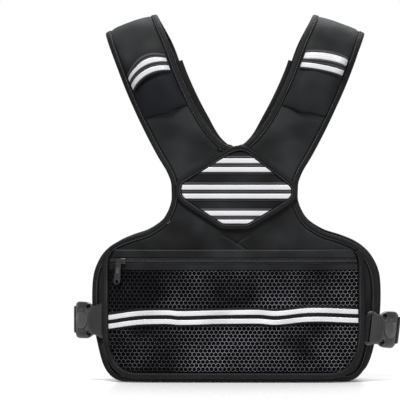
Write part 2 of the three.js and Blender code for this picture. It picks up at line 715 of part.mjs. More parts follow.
// The line just inside the pocket's tape, as a closed outline that starts above the top band.
const POCKET_SHARES = POCKET_EDGE.map((row) => row.at);
const pocketSide = POCKET_SHARES.map((at) => {
  const { point, inward } = pocketEdge(at);
  return point.addScaledVector(inward, TAPE + 1.5 * GAP);
});
const rim = pocketSide[0].clone().sub(pocketSide[1]);
pocketSide.unshift(pocketSide[0].clone().add(rim));
const pocketInner = [1, -1].flatMap((mirror) => {
  const side = pocketSide.map((point) => new THREE.Vector2(POCKET.shift + mirror * point.x, point.y));
  return mirror > 0 ? side : side.reverse();
});

function pocketTape() {
  const half = (mirror) => POCKET_SHARES.map((at) => {
    const { point, inward } = pocketEdge(at);
    return (inset, lift) => {
      const x = POCKET.shift + mirror * (point.x + inward.x * inset);
      return onPocket(x, point.y + inward.y * inset, lift);
    };
  });
  const across = [0.1, -0.1].map((share) => (inset, lift) => {
    return onPocket(POCKET.shift + share * POCKET.half, DROP - POCKET.hem - inset, lift);
  });
  return tape([...half(1), ...across, ...half(-1).reverse()], TAPE, 0, POCKET.tapeThick);
}

// A piece of the pocket's cloth between two heights, trimmed by its tape.
function pocketCloth(downs, low, thick, columns = 14) {
  const rows = downs.map((down) => spanAt(pocketInner, down));
  return sheetBetween(rows, columns, (x, down, out) => onPocket(x, down, low + out * thick));
}

function addPocket() {
  const { height, cloth } = POCKET;
  const zipTop = POCKET_TOP + BAND_TOP;
  const zipFoot = zipTop + ZIP.width;
  const netTop = zipFoot + BAND_BOTTOM;
  const netFoot = POCKET_TOP + height - TAPE - 2 * GAP;
  const seat = POCKET_SEAT;
  const half = GAP / 2;
  const folded = cloth + BAND_EXTRA;
  const bandRows = [POCKET_TOP, POCKET_TOP + BAND_TOP / 2, zipTop - half];
  add("pocket_tape", pocketTape(), "tape");
  add("pocket_band", pocketCloth(bandRows, seat, folded), "pad");
  add("zip_tape", pocketCloth([zipTop + half, zipFoot - half], seat, cloth), "zip");
  const middle = (zipTop + zipFoot) / 2;
  const chain = [middle - ZIP.chain / 2, middle + ZIP.chain / 2];
  add("zip_chain", pocketCloth(chain, seat + cloth + GAP, ZIP.thick), "zip");
  add("pocket_lower_band", pocketCloth([zipFoot + half, netTop - half], seat, folded), "pad");
  const netRows = [netTop + half, ...steps(netTop + NET_HEM, netFoot - NET_HEM, 9), netFoot];
  add("pocket_net", pocketCloth(netRows, seat, cloth), "net");
  addPocketRibbon(POCKET_TOP + POCKET_RIBBON.down, seat + cloth + GAP * 2);
  addZipPull(middle, seat + cloth + 2 * GAP + ZIP.thick);
}

// The ribbon across the net, whose middle lies that far down, rising a little to one side.
function addPocketRibbon(middle, low) {
  const ends = spanAt(pocketInner, middle);
  const band = (downs, base, thick, trim) => {
    const rows = downs.map((down) => ({ left: ends.left + trim, right: ends.right - trim, down }));
    return sheetBetween(rows, 14, (x, down, out) => {
      return onPocket(x, middle + down + POCKET_RIBBON.slope * x, base + out * thick);
    });
  };
  add("pocket_ribbon", band(steps(-RIBBON / 2, RIBBON / 2, 4), low, RIBBON_THICK, GAP), "ribbon");
  [-1, 1].forEach((way, k) => {
    const line = (way * STRIPE_PITCH) / 2;
    const downs = [line - STRIPE / 2, line + STRIPE / 2];
    const strip = band(downs, low + RIBBON_THICK + 2 * GAP, STRIPE_THICK, 4 * GAP);
    add(`pocket_stripe_${k + 1}`, strip, "stripe");
  });
}

// Turns a straight body, made along X, Y and Z, into another shape, point by point.
function bent(solid, place) {
  const geometry = geometryOf(solid);
  const position = geometry.getAttribute("position");
  for (let i = 0; i < position.count; i += 1) {
    const point = place(position.getX(i), position.getY(i), position.getZ(i));
    position.setXYZ(i, point.x, point.y, point.z);
  }
  const corners = Array.from(position.array);
  return facingOut(corners, Array.from(geometry.getIndex().array));
}

const block = (x, y, z, at, cuts = 1) => {
  const geometry = new THREE.BoxGeometry(x, y, z, cuts, 1, 1);
  geometry.translate(...at);
  return solidOf(geometry);
};

const rod = (radius, length, at, sides = 16) => {
  const geometry = new THREE.CylinderGeometry(radius, radius, length, sides);
  geometry.rotateX(Math.PI / 2);
  geometry.translate(...at);
  return solidOf(geometry);
};

// The slider on the zip's chain, and the puller that hangs from it.
function addZipPull(down, low) {
  const middle = POCKET.shift - POCKET.half + SLIDER.inset;
  const slider = block(SLIDER.length, SLIDER.width, SLIDER.thick, [0, 0, SLIDER.thick / 2]);
  const placeSlider = (x, y, z) => onPocket(middle + x, down - y, low + z);
  add("zip_slider", bent(slider, placeSlider), "plastic");
  const { length, width, thick, eye, lean } = PULLER;
  const straight = length - width / 2;
  const bar = block(width, straight, thick, [0, -straight / 2, 0]);
  const end = rod(width / 2, thick, [0, -straight, 0]);
  const hole = rod(eye, thick * 3, [0, -straight, 0], 12);
  const puller = bar.add(end).subtract(hole);
  const slant = radians(lean);
  const placePuller = (x, y, z) => {
    const across = x * Math.cos(slant) + y * Math.sin(slant);
    const fall = -y * Math.cos(slant) + x * Math.sin(slant);
    const clear = low + SLIDER.thick + GAP + thick / 2;
    return onPocket(middle - width / 4 + across, down + fall, clear + z);
  };
  add("zip_puller", bent(puller, placePuller), "plastic");
}

// A place on a buckle: along its length from its front bar, up its height, out from its middle.
function onBuckle(hand, along, up, out) {
  const fit = BUCKLE[hand];
  const mirror = hand === "left" ? -1 : 1;
  const toe = radians(fit.toe);
  const heading = toe + Math.max(along, 0) / fit.radius;
  const x = fit.radius * (Math.sin(heading) - Math.sin(toe)) + Math.min(along, 0) * Math.cos(toe);
  const y = fit.radius * (Math.cos(toe) - Math.cos(heading)) + Math.min(along, 0) * Math.sin(toe);
  const down = DROP - fit.rise;
  const stand = ON_TOP + BUCKLE_STAND + BAR_STANDOFF + WEBBING_THICK / 2;
  const start = onPanel(-1, HALF_WIDTH - fit.inset, down, stand);
  const droop = radians(fit.droop);
  const across = x + Math.sin(heading) * out;
  return new THREE.Vector3(
    mirror * (start.x + across * Math.cos(droop) + up * Math.sin(droop)),
    start.y + y - Math.cos(heading) * out,
    -down + up * Math.cos(droop) - across * Math.sin(droop),
  );
}

// Section of a buckle: a rounded slab as high as 2 * half, in the plane across its length.
function slab(along, half, thick) {
  const reach = thick / 2;
  return [
    [half - reach * 1.2, reach],
    [half - reach * 0.3, reach * 0.7],
    [half, 0],
    [half - reach * 0.3, -reach * 0.7],
    [half - reach * 1.2, -reach],
    [-half + reach * 1.2, -reach],
    [-half + reach * 0.3, -reach * 0.7],
    [-half, 0],
    [-half + reach * 0.3, reach * 0.7],
    [-half + reach * 1.2, reach],
  ].map(([up, out]) => new THREE.Vector3(along, up, out));
}

// A straight slab through rows of half width and thickness along it.
const slabThrough = (rows) => {
  return solidOf(loft(rows.map((row) => slab(row.along, row.half, row.thick))));
};

function socketSolid() {
  const rows = SOCKET_ROWS.map((row) => ({
    along: row.at * SOCKET_LENGTH,
    half: row.half * BUCKLE_HALF,
    thick: row.thick * BUCKLE_THICK,
  }));
  const depth = SOCKET_LENGTH - CAVITY.from + 1;
  const cavity = block(depth, CAVITY.half * 2, CAVITY.open, [CAVITY.from + depth / 2, 0, 0], 5);
  const notch = (way) => rod(NOTCH.radius, BUCKLE_THICK * 2, [NOTCH.at, way * NOTCH.out, 0], 12);
  const disc = rod(DISC.radius, DISC.thick + 1, [DISC.at, 0, (BUCKLE_THICK + DISC.thick - 1) / 2]);
  const body = slabThrough(rows).subtract(barSlot(SLOT.from, SLOT.to)).subtract(cavity);
  return body.subtract(notch(1)).subtract(notch(-1)).add(disc);
}

// The slot beside a buckle's bar, from one place along the buckle to another.
function barSlot(from, to) {
  return block(to - from, SLOT.half * 2, BUCKLE_THICK, [(from + to) / 2, 0, 0]);
}

function plugSolid() {
  const from = SOCKET_LENGTH + GAP;
  const rows = PLUG_ROWS.map((row) => ({
    along: lerp(from, PLUG_LENGTH, row.at),
    half: row.half * BUCKLE_HALF,
    thick: row.at < 0.4 ? row.thick * BUCKLE_THICK : row.thick * BAR_THICK,
  }));
  const reach = from - CAVITY.from - PRONG.short;
  const thick = CAVITY.open - 2 * PRONG.play;
  const prong = (up, width) => block(reach + 1, width, thick, [from - reach / 2 + 0.5, up, 0], 5);
  const body = slabThrough(rows).subtract(barSlot(PLUG_LENGTH - SLOT.to, PLUG_LENGTH - SLOT.from));
  const sides = prong(PRONG.side, PRONG.wide).add(prong(-PRONG.side, PRONG.wide));
  return body.add(sides).add(prong(0, PRONG.middleWide));
}

// Webbing along a path of centre points, each with its outward direction.
function strip(path, up) {
  const half = WEBBING / 2;
  const loops = path.map(({ point, out }) => {
    const corner = (way, side) => {
      return point.clone().addScaledVector(up, way * half).addScaledVector(out, (side * WEBBING_THICK) / 2);
    };
    return [corner(1, 1), corner(-1, 1), corner(-1, -1), corner(1, -1)];
  });
  return loft(loops);
}

// Directions along, up and out of a buckle's frame at a place along it.
function buckleAxes(hand, along) {
  const here = onBuckle(hand, along, 0, 0);
  const up = onBuckle(hand, along, 1, 0).sub(here).normalize();
  const out = onBuckle(hand, along, 0, 1).sub(here).normalize();
  const run = onBuckle(hand, along + 0.1, 0, 0).sub(here).normalize();
  return { here, up, out, run };
}

// The webbing's turn round a bar: from the outer face through the slot to the inner face.
function turnRound(hand, bar, way) {
  const clear = SLOT.from / 2 + GAP + WEBBING_THICK / 2;
  const squared = (value) => Math.sign(value) * Math.abs(value) ** 0.5;
  return steps(90, -90, 8).map((angle) => {
    const reach = BAR_STANDOFF * squared(Math.sin(radians(angle)));
    const along = bar + way * (SLOT.from / 2 + clear * squared(Math.cos(radians(angle))));
    const { out, run } = buckleAxes(hand, along);
    const turn = radians(angle);
    const facing = out.clone().multiplyScalar(Math.sin(turn)).addScaledVector(run, way * Math.cos(turn));
    return { point: onBuckle(hand, along, 0, reach), out: facing };
  });
}

// Webbing from under the pocket, round the socket's bar and back.
function frontWebbing(hand) {
  const layer = (side) => steps(-WEBBING_TUCK, -1, 3).map((along) => {
    const sink = BUCKLE_STAND * 0.75 * smooth(-along, 1, WEBBING_TUCK * 0.8);
    const { out } = buckleAxes(hand, along);
    const reach = side * BAR_STANDOFF - sink;
    return { point: onBuckle(hand, along, 0, reach), out: out.clone().multiplyScalar(side) };
  });
  const path = [...layer(1), ...turnRound(hand, 0, 1), ...layer(-1).reverse()];
  return strip(path, buckleAxes(hand, 0).up);
}

// Webbing from the plug's bar round the flank to the back panel.
function backWebbing(hand) {
  const mirror = hand === "left" ? -1 : 1;
  const fit = BUCKLE[hand];
  const turn = turnRound(hand, PLUG_LENGTH, -1).reverse();
  const { out, run, up } = buckleAxes(hand, PLUG_LENGTH + 1);
  const start = onBuckle(hand, PLUG_LENGTH + 1, 0, BAR_STANDOFF);
  const down = BOW.rise - start.z;
  const seat = ON_TOP + WEBBING_THICK / 2 + 2 * GAP;
  const onBack = (x) => onPanel(1, mirror * x, down, seat);
  const flank = HALF_WIDTH - 1;
  const edge = onBack(flank);
  const into = onBack(flank - BOW.rise).sub(edge).normalize();
  const bow = new THREE.CubicBezierCurve3(
    start,
    start.clone().addScaledVector(run, BOW.out),
    edge.clone().addScaledVector(into, -BOW.back),
    edge,
  );
  const along = bow.getPoints(9).slice(1).map((point, i) => {
    const tangent = bow.getTangent((i + 1) / 9);
    return { point, out: tangent.clone().cross(up).multiplyScalar(mirror).normalize() };
  });
  const seated = steps(flank, HALF_WIDTH - fit.seat, 4).slice(1).map((x) => ({
    point: onBack(x),
    out: onPanel(1, mirror * x, down, seat + 1).sub(onBack(x)).normalize(),
  }));
  const tuck = [FOLD.long, FOLD.short].map((reach) => ({
    point: onBuckle(hand, PLUG_LENGTH + reach, 0, -BAR_STANDOFF + reach * FOLD.lean),
    out: out.clone().negate(),
  }));
  return strip([...tuck, ...turn, { point: start, out }, ...along, ...seated], up);
}

add("front_panel", lowerPad(-1), "pad");
add("strap_left", frontStrap("left"), "pad");
add("strap_right", frontStrap("right"), "pad");
add("front_tape", outerTape(-1), "tape");
add("neck_tape", neckTape(-1), "tape");
add("back_panel", lowerPad(1), "pad");
add("back_leg_left", backLeg("left"), "pad");
add("back_leg_right", backLeg("right"), "pad");
add("back_tape", outerTape(1), "tape");
add("back_neck_tape", neckTape(1), "tape");
addPatch();
addPouches();
addPocket();
["left", "right"].forEach((hand) => {
  const place = (x, y, z) => onBuckle(hand, x, y, z);
  add(`buckle_socket_${hand}`, bent(socketSolid(), place), "plastic");
  add(`buckle_plug_${hand}`, bent(plugSolid(), place), "plastic");
  add(`webbing_front_${hand}`, frontWebbing(hand), "webbing");
  add(`webbing_back_${hand}`, backWebbing(hand), "webbing");
});

export default vest;
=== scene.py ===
"""Dresses a weighted vest around its packed construction: padded body and straps, ribbed edge tape,
reflective ribbon, a net pocket with its zip, side release buckles and flat webbing.

Lengths are millimetres until a mesh is made, +Z is up and the front faces -Y."""

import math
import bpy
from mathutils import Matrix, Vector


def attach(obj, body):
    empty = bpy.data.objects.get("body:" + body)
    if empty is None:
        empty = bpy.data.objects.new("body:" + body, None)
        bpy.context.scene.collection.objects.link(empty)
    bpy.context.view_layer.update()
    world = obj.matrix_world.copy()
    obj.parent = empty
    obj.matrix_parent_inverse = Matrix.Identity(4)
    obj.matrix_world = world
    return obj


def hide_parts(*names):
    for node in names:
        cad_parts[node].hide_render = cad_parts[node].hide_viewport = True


bl_info = {
    "name": "Weighted Vest",
    "version": (1, 0, 0),
    "blender": (4, 5, 0),
    "location": "View3D > Sidebar > Vest",
    "description": "Makes the cloth, trim and hardware of a padded vest",
    "category": "Add Mesh",
}

import bpy
import numpy as np

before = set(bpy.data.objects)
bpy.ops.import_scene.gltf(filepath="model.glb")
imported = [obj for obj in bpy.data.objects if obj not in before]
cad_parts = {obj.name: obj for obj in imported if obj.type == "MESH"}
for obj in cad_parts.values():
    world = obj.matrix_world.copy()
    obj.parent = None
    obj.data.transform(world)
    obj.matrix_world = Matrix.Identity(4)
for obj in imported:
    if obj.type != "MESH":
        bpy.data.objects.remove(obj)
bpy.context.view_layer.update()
MM = 0.001

# Body
HALF_WIDTH = 200
DROP = 512
HALF_DEPTH = 62
SIDE_DEPTH = 38
FLAT = 92
PAD = 7
GAP = 0.3
BACK_SWAY = 6
TAPE = 9
PROUD = 0.6
ON_TOP = PAD + PROUD + GAP
NORMAL_STEP = 0.5

# Straps
STRAP_LENGTH = 240
SHOULDER = 55
BEND_LENGTH = 85
STRAP_CROWN = {"left": 4, "right": 2.5}
TAIL_END = 150
LEG_TOP = 62
TAIL_SPREAD = 3
LEG_SPREAD = 8
NECK_POINT = 0.9

# Ribbon and pouches
RIBBON = 26
RIBBON_THICK = 1
STRIPE = 6.8
STRIPE_THICK = 0.5
STRIPE_PITCH = 12.4
POUCH_WALL = 1.4
POUCH_SEAM = 1
POUCH_BULGE = 10
POUCH_LIP = 4
POUCH = {
    "left": {"ribbon": 57, "arch": 10.5, "lean": -11, "foot": 127, "foot_lean": 2},
    "right": {"ribbon": 42.5, "arch": 2.5, "lean": 8, "foot": 125.5, "foot_lean": 5},
}
KEEPER = 4

# Patch and pocket
PATCH = {"shift": 2.4, "top": 178, "height": 119, "half": 86.2, "thick": 2.5, "tape": 8, "proud": 4.5}
PATCH_RIBBONS = [206, 243.5, 280]
POCKET = {"shift": -1.8, "half": 182, "top": 325, "height": 183, "tape": 4.6, "cloth": 1.2}
POCKET_BULGE = 5
POCKET_SEAT = 0.6
BAND_TOP = 12
ZIP = {"width": 9, "chain": 4.4, "thick": 2}
BAND_BOTTOM = 8
POCKET_RIBBON_DOWN = 421
SLIDER = {"x": -157, "length": 12, "width": 8.5, "thick": 4}
PULLER = {"length": 34, "width": 8.8, "thick": 1.8, "eye": 2.4, "lean": 5}

# Buckles and webbing
WEBBING = 38
WEBBING_THICK = 1.2
WEBBING_TUCK = 14
BUCKLE_HALF = 26
BUCKLE_THICK = 9
BUCKLE_STAND = 2
BUCKLE_LIFT = 55
BUCKLE_REACH = 34
BUCKLE = {
    "left": {"start": 176.5, "toe": 12, "radius": 58, "drop": 426, "droop": 0, "anchor": 150},
    "right": {"start": 181, "toe": 20, "radius": 72, "drop": 436, "droop": 6.5, "anchor": 160},
}
SLOT = {"near": 3.2, "far": 7.4, "half": 20}
NOTCH = {"at": 27, "out": 18.6, "radius": 4.6, "deep": 8.7, "middle": 1.15}
DISC = {"at": 40.5, "radius": 12.4, "thick": 0.9, "groove": 1.1, "sunk": 1.4}
SOCKET_LENGTH = 53.5
PLUG_LENGTH = 64
CAVITY = {"from": 18, "half": 20, "open": 5}
BAR_STANDOFF = BUCKLE_THICK * 0.38 / 2 + GAP + WEBBING_THICK / 2
POCKET_LIFT = BUCKLE_STAND + 2 * BAR_STANDOFF + WEBBING_THICK + 4 * GAP

# Stitches lie at this share of a tape's width, and are drawn this far into the cloth
STITCH_INSET = 0.77
STITCH_SINK = 0.1

# Length of the rod, half of it sunk, that cuts the groove round a buckle's disc
GROOVE_DEEP = 2.0

# Light that comes from all sides, and the view: pixels of a side, millimetres to a pixel, its middle
AMBIENT = 0.35
PHOTO_SIDE = 400
PIXEL = 1.412
VIEW_CENTRE = (-49.0, -255.4)
SENSOR = 36
FLOOR_DOWN = DROP + 1.2

# Mean of a sine without its sign, which keeps a ribbed cloth's mean tone
MEAN_SINE = 0.64

# Relief of moulded plastic
PLASTIC_GRAIN = 0.02

# Places along a strap of the rows at its foot, where it grows out of the lower panel
FOOT_FALLS = np.array([STRAP_LENGTH - 0.1, 236, 232, 228, 224, 220, 216])

# Slow waves of the net and lining: size, length across, length down and phase
POCKET_WAVES = [(0.7, 130, 75, 0.2), (0.5, -88, 60, 1.4), (0.35, 52, 44, 2.6), (0.3, 58, -110, 0.9)]


def table(names, rows):
    """Rows of numbers as a dict of named columns."""
    columns = np.array(rows, float).T
    return dict(zip(names.split(), columns))


# Panel outline from the waist down, as shares of HALF_WIDTH and DROP
PANEL_EDGE = table("at x down", [
    (0.0, 0.446, 0.467),
    (0.06, 0.4475, 0.5),
    (0.12, 0.475, 0.532),
    (0.17, 0.525, 0.56),
    (0.22, 0.62, 0.5845),
    (0.28, 0.735, 0.6),
    (0.34, 0.83, 0.616),
    (0.4, 0.905, 0.6385),
    (0.46, 0.957, 0.669),
    (0.53, 0.99, 0.708),
    (0.61, 1.0, 0.764),
    (0.69, 0.992, 0.832),
    (0.77, 0.962, 0.896),
    (0.84, 0.922, 0.954),
    (0.9, 0.868, 0.986),
    (0.95, 0.79, 1.0),
    (1.0, 0.7, 1.0),
])

# Strap edges from the crest to the waist, as shares of STRAP_LENGTH, HALF_WIDTH and DROP
STRAP_EDGES = table("at outer_x outer_down inner_x inner_down", [
    (0.0, 0.91, 0.053, 0.54, 0.0),
    (0.167, 0.834, 0.125, 0.458, 0.071),
    (0.333, 0.762, 0.198, 0.389, 0.145),
    (0.5, 0.684, 0.268, 0.308, 0.216),
    (0.646, 0.61, 0.328, 0.223, 0.277),
    (0.771, 0.54, 0.38, 0.137, 0.321),
    (0.85, 0.488, 0.414, 0.06, 0.347),
    (0.9, 0.464, 0.434, 0.0, 0.357),
    (0.95, 0.45, 0.451, 0.0, 0.41),
    (1.0, 0.446, 0.467, 0.0, 0.467),
])

# Patch outline, clockwise from its top, as shares of its half width and its height
PATCH_EDGE = table("x down", [
    (0.071, 0.0),
    (0.161, 0.0095),
    (0.24, 0.036),
    (0.901, 0.4105),
    (0.9735, 0.463),
    (1.0, 0.5406),
    (0.9917, 0.618),
    (0.901, 0.6957),
    (0.27, 0.975),
    (0.188, 1.0),
    (-0.2405, 1.0),
    (-0.313, 0.9666),
    (-0.8847, 0.6957),
    (-0.9753, 0.63),
    (-1.0, 0.5274),
    (-0.9753, 0.4236),
    (-0.8847, 0.3723),
    (-0.17, 0.049),
    (-0.04, 0.008),
])

# Right half of the pocket's outline, as shares of its half width and its height
POCKET_EDGE = table("at x down", [
    (0.0, 0.962, 0.0),
    (0.05, 0.99, 0.05),
    (0.11, 1.0, 0.13),
    (0.2, 1.0, 0.28),
    (0.3, 1.0, 0.46),
    (0.4, 0.998, 0.63),
    (0.47, 0.99, 0.745),
    (0.55, 0.963, 0.845),
    (0.62, 0.918, 0.922),
    (0.69, 0.853, 0.974),
    (0.76, 0.775, 0.997),
    (0.83, 0.69, 1.0),
    (0.91, 0.5, 1.0),
    (1.0, 0.26, 1.0),
])

# Buckle socket along its length, as shares of its length, half width and thickness
SOCKET_ROWS = table("at half thick scoop", [
    (0.0, 0.84, 0.26, 0.0),
    (0.05, 0.93, 0.36, 0.0),
    (0.17, 0.93, 0.38, 0.0),
    (0.26, 0.84, 0.62, 0.5),
    (0.37, 0.78, 0.88, 1.0),
    (0.47, 0.88, 0.98, 0.4),
    (0.58, 0.98, 1.0, 0.0),
    (0.76, 1.0, 1.0, 0.0),
    (0.93, 1.0, 0.98, 0.0),
    (1.0, 0.97, 0.94, 0.0),
])

# Middle of the pocket's ribbon: its place across as a share of the pocket's half width, and its dip
RIBBON_DIP = table("at dip", [
    (-1.0, 7.5),
    (-0.93, 6.0),
    (-0.8, 2.0),
    (-0.68, 0.0),
    (-0.5, -0.6),
    (-0.42, 0.6),
    (-0.1, -0.8),
    (0.2, -1.2),
    (0.33, 0.3),
    (0.58, -4.0),
    (0.8, -3.2),
    (1.0, -1.6),
])


def smooth(value, start, end):
    """0 before start, 1 after end and a cubic ease between them."""
    t = np.clip((value - start) / (end - start), 0, 1)
    return t * t * (3 - 2 * t)


def mix(a, b, t):
    return a + (b - a) * t


def cubic(rows, at):
    """Every column of a table at places between its rows: a cubic through the rows, whose slope at a
    row is that of the line through its two neighbours."""
    keys = rows["at"]
    at = np.clip(np.asarray(at, float), keys[0], keys[-1])
    last = len(keys) - 1
    k = np.clip(np.searchsorted(keys, at, side="left") - 1, 0, last - 1)
    span = keys[k + 1] - keys[k]
    t = (at - keys[k]) / span

    def column(values):
        def slope(i):
            before, after = np.maximum(i - 1, 0), np.minimum(i + 1, last)
            return (values[after] - values[before]) / (keys[after] - keys[before]) * span

        a, b = values[k], values[k + 1]
        da, db = slope(k), slope(k + 1)
        return a + t * (da + t * (3 * (b - a) - 2 * da - db + t * (2 * (a - b) + da + db)))

    return {name: column(values) for name, values in rows.items()}


def stack(x, y, z):
    """Three arrays as one array of points."""
    return np.stack(np.broadcast_arrays(x, y, z), -1).astype(float)


def unit(vectors):
    return vectors / np.maximum(np.linalg.norm(vectors, axis=-1, keepdims=True), 1e-9)


def off_surface(base, a, b, lift, facing):
    """Points of the surface base(a, b), moved off it by lift along its normal on the facing side."""
    step = NORMAL_STEP
    along_a = base(a + step, b) - base(a - step, b)
    along_b = base(a, b + step) - base(a, b - step)
    normal = unit(np.cross(along_a, along_b))
    sign = np.where((normal * facing).sum(-1, keepdims=True) < 0, -1.0, 1.0)
    return base(a, b) + normal * sign * np.asarray(lift)[..., None]


def hollow_depth(x):
    """Half the depth of the hollow: flat in the middle, then turning back as a parabola."""
    turn = np.maximum(np.abs(x) - FLAT, 0) / (HALF_WIDTH - FLAT)
    return HALF_DEPTH - (HALF_DEPTH - SIDE_DEPTH) * turn**2


def sway(side, down):
    return np.where(np.asarray(side) > 0, BACK_SWAY * smooth(down, DROP * 0.54, DROP * 0.72), 0)


def on_panel(side, x, down, lift):
    """Points on the front (side -1) or the back (side 1) panel: x across, down below the origin."""
    x, down, lift = np.broadcast_arrays(np.asarray(x, float), down, lift)
    facing = np.array([0, side, 0])
    return off_surface(
        lambda a, b: stack(a + sway(side, b), side * hollow_depth(a), -b), x, down, lift, facing
    )


def edge_of(rows, at, width, height, top=0.0):
    """Points of an outline held as shares, and the directions that lead into the cloth from them."""
    def place(share):
        row = cubic(rows, share)
        return np.stack([row["x"] * width, top + row["down"] * height], -1)

    run = unit(place(np.minimum(at + 0.005, 1)) - place(np.maximum(at - 0.005, 0)))
    point = place(at)
    point[..., 1] = np.minimum(point[..., 1], top + height)
    return point, np.stack([-run[..., 1], run[..., 0]], -1)


def panel_edge(at):
    return edge_of(PANEL_EDGE, at, HALF_WIDTH, DROP)


def strap_row(along, spread=0):
    """The strap's two edges at places along it, the share of the depth reached and the fall below the
    crest. Along is 0 at the crest, minus down the front and plus down the back."""
    along = np.asarray(along, float)
    away = np.abs(along)
    bend = np.clip(away / BEND_LENGTH, 0, 1) * (np.pi / 2)
    fall = np.where(away < BEND_LENGTH, SHOULDER * (1 - np.cos(bend)), SHOULDER + away - BEND_LENGTH)
    row = cubic(STRAP_EDGES, fall / STRAP_LENGTH)
    spreading = np.where(along > 0, spread * smooth(fall, 0, SHOULDER), 0)
    fading = 1 - smooth(fall, STRAP_LENGTH * 0.6, STRAP_LENGTH * NECK_POINT)
    outer = np.stack([row["outer_x"] * HALF_WIDTH, row["outer_down"] * DROP], -1)
    inner_x = row["inner_x"] * HALF_WIDTH - spreading * fading
    inner = np.stack([inner_x, row["inner_down"] * DROP], -1)
    return {"outer": outer, "inner": inner, "depth": np.sign(along) * np.sin(bend), "fall": fall}


def along_at(fall, side):
    """The place along a strap that lies that far below its crest, on the front or the back."""
    fall = np.asarray(fall, float)
    bent = np.arccos(np.clip(1 - fall / SHOULDER, 0, 1)) / (np.pi / 2) * BEND_LENGTH
    return side * np.where(fall >= SHOULDER, BEND_LENGTH + fall - SHOULDER, bent)


def on_strap(hand, along, across, lift, spread=0):
    """Points on a strap: across runs from 0 at its outer edge to 1 at its inner edge. The cloth bends
    over the shoulder on a quarter wave each way and is crowned by a parabola across."""
    mirror = -1 if hand == "left" else 1
    along, across, lift = np.broadcast_arrays(np.asarray(along, float), across, lift)

    def base(a, b):
        row = strap_row(a, spread)
        place = mix(row["outer"], row["inner"], (b / STRAP_LENGTH)[..., None])
        x, down = place[..., 0], place[..., 1]
        return stack(mirror * x + sway(row["depth"], down), row["depth"] * hollow_depth(x), -down)

    row = strap_row(along, spread)
    front = (row["depth"] < 0).astype(float)
    fading = (
        1
        - smooth(row["fall"], STRAP_LENGTH * 0.5, STRAP_LENGTH * 0.7) * front
        - smooth(along, 0, along_at(LEG_TOP - TAPE, 1))
    )
    crown = STRAP_CROWN[hand] * (1 - (2 * across - 1) ** 2) * np.clip(fading, 0, 1)
    facing = stack(np.full(along.shape, mirror * 0.35), row["depth"], 1 - np.abs(row["depth"]))
    return off_surface(base, along, across * STRAP_LENGTH, lift + crown, facing)


def strap_inset(along, inset, edge, spread=0):
    """The share of a strap's width that an inset square to one of its edges takes."""
    row = strap_row(along, spread)
    run = unit(strap_row(along + 1, spread)[edge] - strap_row(along - 1, spread)[edge])
    reach = row["inner"] - row["outer"]
    width = np.linalg.norm(reach, axis=-1)
    square = np.abs(run[..., 0] * reach[..., 1] - run[..., 1] * reach[..., 0]) / width
    square = np.where(np.abs(along) < BEND_LENGTH, 1, np.maximum(square, 0.5))
    return inset / (square * width)


def strap_stand(along):
    """How far a strap's tail stands off as it climbs over the back panel's leg."""
    return (PAD + 2 * PROUD + GAP) * smooth(along, BEND_LENGTH * 0.15, along_at(LEG_TOP - TAPE, 1))


def ripple(a, b, waves):
    """A sum of slow sine waves over a surface, each given by its size, two lengths and a phase."""
    total = 0
    for size, length_a, length_b, phase in waves:
        total = total + size * np.sin(2 * np.pi * (a / length_a + b / length_b) + phase)
    return total


def lengths_of(points):
    """The length run along a row of points, at each of them."""
    return np.concatenate([[0], np.cumsum(np.linalg.norm(np.diff(points, axis=0), axis=1))])


def cloth_grid(along, across):
    """Places on the cloth for the points of a grid, row by row."""
    return np.stack(np.broadcast_arrays(along, across), -1).reshape(-1, 2)


def grid_faces(rows, columns, wrap_rows=False, wrap_columns=False, start=0):
    """Quads between the points of a grid, joined round where it wraps."""
    i = np.arange(rows if wrap_rows else rows - 1)
    j = np.arange(columns if wrap_columns else columns - 1)
    i, j = np.meshgrid(i, j, indexing="ij")
    below, beside = (i + 1) % rows, (j + 1) % columns
    corners = [i * columns + j, below * columns + j, below * columns + beside, i * columns + beside]
    return start + np.stack(corners, -1).reshape(-1, 4)


def facing_out(points, faces):
    """The faces, turned round where the closed body they make would be inside out."""
    a, b, c, d = (points[faces[:, k]] for k in range(4))
    volume = (a * np.cross(b, c)).sum() + (a * np.cross(c, d)).sum()
    return faces[:, ::-1] if volume < 0 else faces


def shell(outer, inner):
    """A closed sheet between two grids of points, with its rim walled."""
    rows, columns = outer.shape[:2]
    points = np.concatenate([outer.reshape(-1, 3), inner.reshape(-1, 3)])
    count = rows * columns
    index = np.arange(count).reshape(rows, columns)
    loop = np.concatenate([index[0, :], index[1:, -1], index[-1, -2::-1], index[-2:0:-1, 0]])
    after = np.roll(loop, -1)
    rim = np.stack([loop, after, after + count, loop + count], -1)
    top = grid_faces(rows, columns)
    return points, facing_out(points, np.concatenate([top, top[:, ::-1] + count, rim]))


def sheet_of(outer, inner, along, across):
    """A closed sheet between two grids, with the place on the cloth of every point of both."""
    uv = cloth_grid(along, across)
    return *shell(outer, inner), np.concatenate([uv, uv])


def tube(loops, ring=False):
    """A closed body through a row of closed loops, capped by a ladder of quads where it ends."""
    rows, columns = loops.shape[:2]
    points = loops.reshape(-1, 3)
    faces = [grid_faces(rows, columns, wrap_rows=ring, wrap_columns=True)]
    if not ring:
        j = np.arange(columns // 2 - 1)
        cap = np.stack([j, columns - 1 - j, columns - 2 - j, j + 1], -1)
        faces += [cap[:, ::-1], cap + (rows - 1) * columns]
    return points, facing_out(points, np.concatenate(faces))


